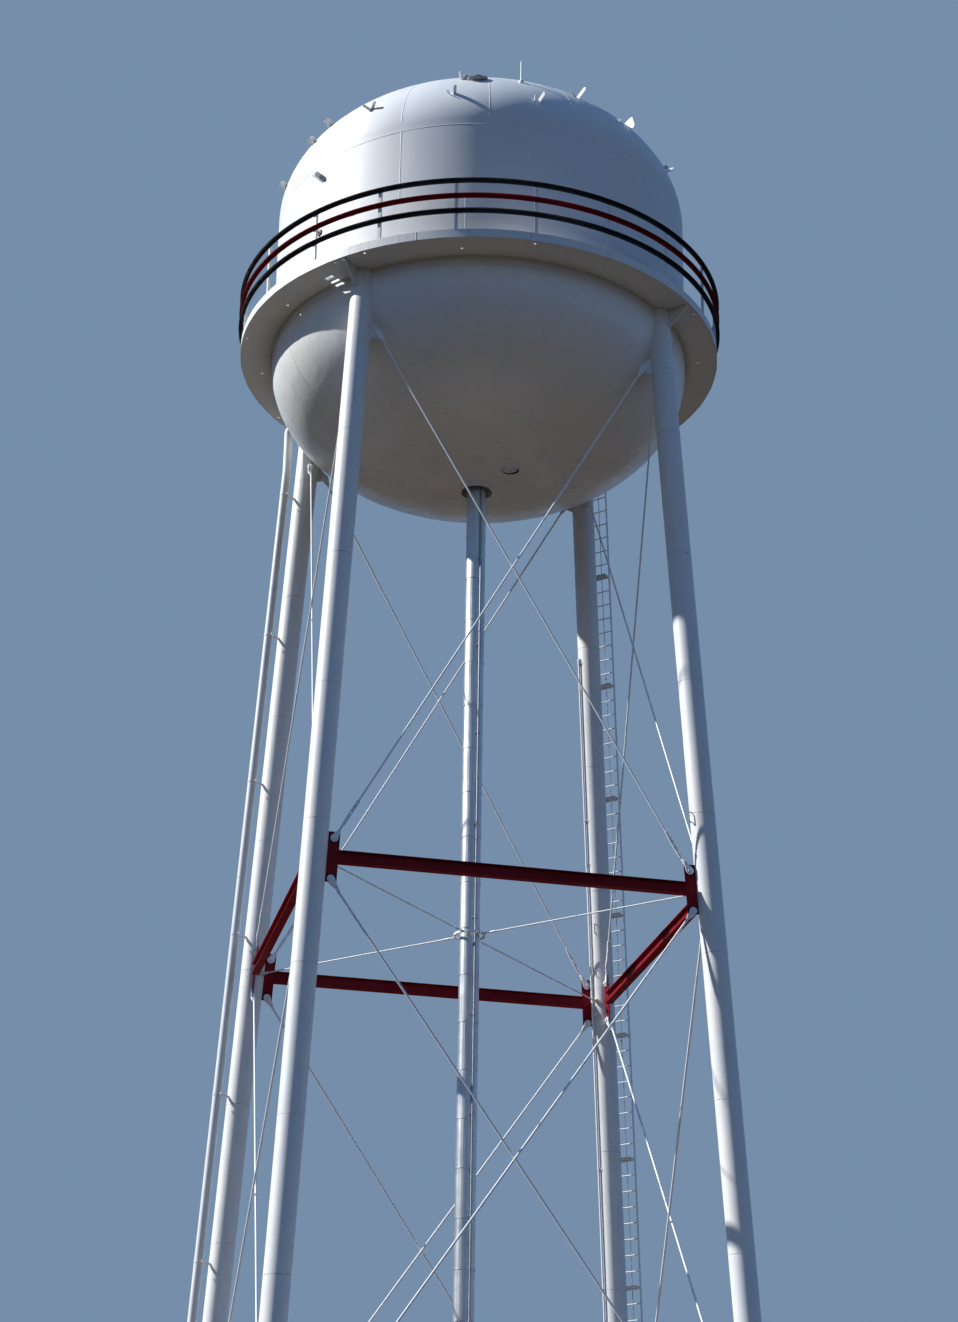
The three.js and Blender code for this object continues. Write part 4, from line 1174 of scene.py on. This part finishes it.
def straps_over(reach, wall, heights):
    """Two-legged straps round a conduit at a reach along X, footed on the wall behind."""
    outer, foot = CONDUIT_RADIUS + 0.004, wall - 0.004
    angles = np.linspace(-math.pi / 2, math.pi / 2, 13)
    arc = [(reach + outer * math.cos(a), outer * math.sin(a)) for a in angles]
    strap = joined(plate([(foot, -outer), *arc, (foot, outer)], STRAP_WIDTH),
                   block(0.006, 2 * outer + 0.07, STRAP_WIDTH).at(wall + 0.002, 0, 0))
    return [strap.at(0, 0, height) for height in heights]


def make_riser_conduit():
    reach = RISER_RADIUS + CONDUIT_RADIUS + RISER_CONDUIT["clear"]
    top = BOWL_LIP - COLLAR["height"] - 0.06
    straps, couplings = (np.arange(first, top - 0.5, step)
                         for first, step in (RISER_CONDUIT["straps"], RISER_CONDUIT["couplings"]))
    pipes = [cylinder(CONDUIT_RADIUS, RISER_BASE["height"] + HAIR, top - 0.02, 16),
             cylinder(CONDUIT_RADIUS * 1.25, top - 0.06, top, 16)]
    pipes += [cylinder(CONDUIT_RADIUS * 1.22, height, height + 0.07, 16) for height in couplings]
    form = joined(joined(*pipes).at(reach, 0, 0), *straps_over(reach, RISER_RADIUS, straps))
    piece("riser_wireway", form.turned(RISER_CONDUIT["azimuth"]), ZINC,
          replaces=("riser_conduit",))


# Ladder, conduit and overflow pipe at the back columns

def ladder_frame():
    """Leaning axes of the back-right column: +X outward along the diagonal."""
    lean = Matrix.Identity(4)
    lean[0][2] = -math.sqrt(2) * BATTER
    return out_at(45, math.sqrt(2) * FOOT_HALF) @ lean


def make_ladder():
    reach, left, right, low, high = (LADDER[key] for key in ("reach", "left", "right", "bottom", "top"))
    middle, width = (left + right) / 2, left - right - 0.006
    forms = []
    for side in (left, right):
        forms.append(block(*LADDER_RAIL, high - low).at(reach, side, (low + high) / 2))
        splice, away = block(0.05, 0.008, 0.25), math.copysign(0.009, side - middle)
        forms += [splice.at(reach, side + away, height)
                  for height in np.arange(low + LADDER["splices"], high - 1, LADDER["splices"])]
    rung = cylinder(RUNG_RADIUS, 0, left - right + 0.016, 12).moved(frame_at((0, 0, 0), UP, (1, 0, 0)))
    for height in low + RUNG * np.arange(1, int((high - low) / RUNG) + 1):
        forms.append(rung.at(reach, right - 0.008, height))
    for i in range(LADDER_PLATE["count"]):
        height = low + RUNG * (LADDER_PLATE["first"] + LADDER_PLATE["every"] * i)
        depth = reach - LADDER_PLATE["root"]
        forms.append(block(depth, width, LADDER_PLATE["thickness"]).at(reach - depth / 2, middle, height))
        forms.append(block(0.010, width, LADDER_PLATE["lip"]).at(reach - 0.035, middle, height - 0.02))
    piece("climbing_ladder", joined(*forms).moved(ladder_frame()), ROD_WHITE, replaces=("ladder",),
          bevel=0.0012)
    make_safety_cable(middle, reach, low, high)


def make_safety_cable(middle, reach, low, high):
    """A wire rope down the middle of the rungs, with its guides and its end brackets."""
    out = reach + CABLE["ahead"]
    forms = [cylinder(CABLE["radius"], low + 0.2, high - 0.1, 10).at(out, middle, 0)]
    forms += [block(0.060, 0.020, 0.008).at(reach + 0.022, middle, height)
              for height in np.arange(low + 3.0, high - 2, CABLE["guides"])]
    for height in (low + 0.25, high - 0.16):
        forms.append(block(0.10, 0.06, 0.012).at(reach + 0.03, middle, height))
        forms.append(cylinder(0.014, height - 0.08, height + 0.08, 14).at(out, middle, 0))
    piece("ladder_safety_cable", joined(*forms).moved(ladder_frame()), STEEL)


def make_column_conduit():
    reach = COLUMN_RADIUS + CONDUIT_RADIUS + COLUMN_CONDUIT["clear"]
    top = COLUMN_CONDUIT["top"]
    lean = Matrix.Identity(4)
    lean[0][2] = lean[1][2] = -BATTER
    place = Matrix.Translation((FOOT_HALF, FOOT_HALF, 0)) @ lean @ about_z(COLUMN_CONDUIT["azimuth"])
    elbow = [(reach, 0, top - 0.02), (reach, 0, top + 0.03), (reach - 0.05, 0, top + 0.05)]
    form = joined(cylinder(CONDUIT_RADIUS, BASE["thickness"] + HAIR, top, 16).at(reach, 0, 0),
                  *straps_over(reach, COLUMN_RADIUS, COLUMN_STRAPS), tube(elbow, CONDUIT_RADIUS * 1.15, 16))
    piece("column_wireway", form.moved(place), ROD_WHITE, replaces=("column_conduit",))


def overflow_axis(height):
    return Vector((-offset(height) - OVERFLOW["left"], offset(height) - OVERFLOW["forward"], height))


def overflow_standoff(height):
    """A flat arm with a web from the back-left column to a band round the pipe."""
    radius, left, forward = OVERFLOW["radius"], OVERFLOW["left"], OVERFLOW["forward"]
    length = math.hypot(left, forward) - COLUMN_RADIUS - radius + 0.04
    middle = radius - 0.02 + length / 2
    form = joined(block(length, 0.060, 0.010).at(middle, 0, -0.015),
                  block(length, 0.010, 0.045).at(middle, 0, 0),
                  cylinder(radius + 0.006, -0.02, 0.02, 32), block(0.012, 2 * radius + 0.09, 0.04))
    return form.turned(math.degrees(math.atan2(forward, left))).at(*overflow_axis(height))


def make_overflow():
    radius, entry = OVERFLOW["radius"], OVERFLOW["entry"]
    top, foot = overflow_axis(OVERFLOW["bend"]), overflow_axis(OVERFLOW["end"])
    inward = Vector((top.x, top.y, 0)).normalized() * OVERFLOW["reach"]
    outlet = foot + Vector(OUTLET)
    route = rounded([outlet, foot, top, Vector((top.x, top.y, entry)), Vector((inward.x, inward.y, entry))],
                    OVERFLOW["elbow"])
    lip = (foot - outlet).normalized() * 0.03
    forms = [tube(route, radius, 32), tube([outlet, outlet + lip], radius + 0.010, 32)]
    for height in OVERFLOW_JOINTS:
        forms.append(tube([overflow_axis(height - 0.006), overflow_axis(height + 0.006)], radius + 0.005, 32))
    heights = np.arange(STANDOFF["first"], STANDOFF["last"] + 0.01, STANDOFF["spacing"])
    forms += [overflow_standoff(height) for height in heights]
    piece("overflow_line", joined(*forms), COLUMN_WHITE, replaces=("overflow_pipe",), bevel=0.0015)


# Stage, light and camera

def make_stage():
    """A pale round floor that fades out into the background."""
    f = Finish("stage_floor")
    f.material.surface_render_method = "BLENDED"
    f.done(f.layered(STAGE["tones"][0], ((0.15, 3), 0.35, 0.65, 1.0, STAGE["tones"][1])), 0.9)
    edge = f.between(f.vector("LENGTH", f.stretched(1, 1, 0), output="Value"), *STAGE["fade"])
    clear = f.add("ShaderNodeBsdfTransparent").outputs[0]
    blend = f.add("ShaderNodeMixShader", edge, f.shader.outputs[0], clear)
    f.feed(f.tree.nodes["Material Output"].inputs["Surface"], blend.outputs[0])
    mesh = bpy.data.meshes.new("stage_floor")
    disc = ring(STAGE["radius"], STAGE["height"], STAGE["sides"])
    mesh.from_pydata([tuple(point) for point in disc], [], [tuple(range(STAGE["sides"]))])
    mesh.materials.append(f.material)
    floor = bpy.data.objects.new("stage_floor", mesh)
    bpy.context.scene.collection.objects.link(floor)


def make_world():
    """Soft light: cool above, brightest at the horizon and on the far side from the key, warm below."""
    world = bpy.data.worlds.new("studio")
    bpy.context.scene.world = world
    world.use_nodes = True
    world.node_tree.nodes.clear()
    new, link = world.node_tree.nodes.new, world.node_tree.links.new
    place = new("ShaderNodeTexCoord").outputs["Generated"]
    height, ramp = new("ShaderNodeSeparateXYZ"), new("ShaderNodeValToRGB")
    link(place, height.inputs[0])
    link(height.outputs[2], ramp.inputs[0])
    ramp.color_ramp.interpolation = "EASE"
    stops = ramp.color_ramp.elements
    for stop, (position, color) in zip(stops, (SKY[0], SKY[-1])):
        stop.position, stop.color = position, (*color, 1)
    for position, color in SKY[1:-1]:
        stops.new(position).color = (*color, 1)
    lighting, backdrop = new("ShaderNodeBackground"), new("ShaderNodeBackground")
    link(ramp.outputs[0], lighting.inputs[0])
    toward, strength = new("ShaderNodeVectorMath"), new("ShaderNodeMapRange")
    toward.operation = "DOT_PRODUCT"
    toward.inputs[1].default_value = direction(BRIGHT_SIDE)
    link(place, toward.inputs[0])
    for i, value in enumerate((-1.0, 1.0, *SKY_STRENGTH), start=1):
        strength.inputs[i].default_value = value
    link(toward.outputs["Value"], strength.inputs[0])
    link(strength.outputs[0], lighting.inputs[1])
    backdrop.inputs[0].default_value = BACKDROP
    seen = new("ShaderNodeLightPath").outputs["Is Camera Ray"]
    blend, output = new("ShaderNodeMixShader"), new("ShaderNodeOutputWorld")
    for i, socket in enumerate((seen, lighting.outputs[0], backdrop.outputs[0])):
        link(socket, blend.inputs[i])
    link(blend.outputs[0], output.inputs[0])


def make_sun():
    light = bpy.data.lights.new("key", "SUN")
    light.energy = SUN["energy"]
    light.angle = math.radians(SUN["angle"])
    light.color = SUN["color"]
    sun = bpy.data.objects.new("key", light)
    toward = direction(SUN["azimuth"], SUN["height"])
    sun.rotation_euler = toward.to_track_quat("Z", "Y").to_euler()
    sun.location = toward * 60
    bpy.context.scene.collection.objects.link(sun)


def make_camera():
    forward, level, roll = direction(HEADING, PITCH), direction(HEADING - 90), math.radians(ROLL)
    upward = level.cross(forward)
    right = level * math.cos(roll) + upward * math.sin(roll)
    above = upward * math.cos(roll) - level * math.sin(roll)
    data = bpy.data.cameras.new("view")
    data.lens = LENS
    data.sensor_width = SENSOR
    data.sensor_fit = "AUTO"
    data.clip_end = CLIP_END
    camera = bpy.data.objects.new("view", data)
    turn = Matrix((right, above, -forward)).transposed().to_4x4()
    camera.matrix_world = Matrix.Translation(CAMERA_PLACE) @ turn
    bpy.context.scene.collection.objects.link(camera)
    bpy.context.scene.camera = camera


make_roof()
make_shell()
make_bowl()
make_roof_clips()
make_whip()
make_hatch()
make_shell_disc()
make_balcony()
make_columns()
make_struts()
make_braces()
make_riser()
make_collar()
make_riser_ties()
make_riser_conduit()
make_ladder()
make_column_conduit()
make_overflow()
make_stage()
make_world()
make_sun()
make_camera()
bpy.context.scene.view_settings.view_transform = "Standard"
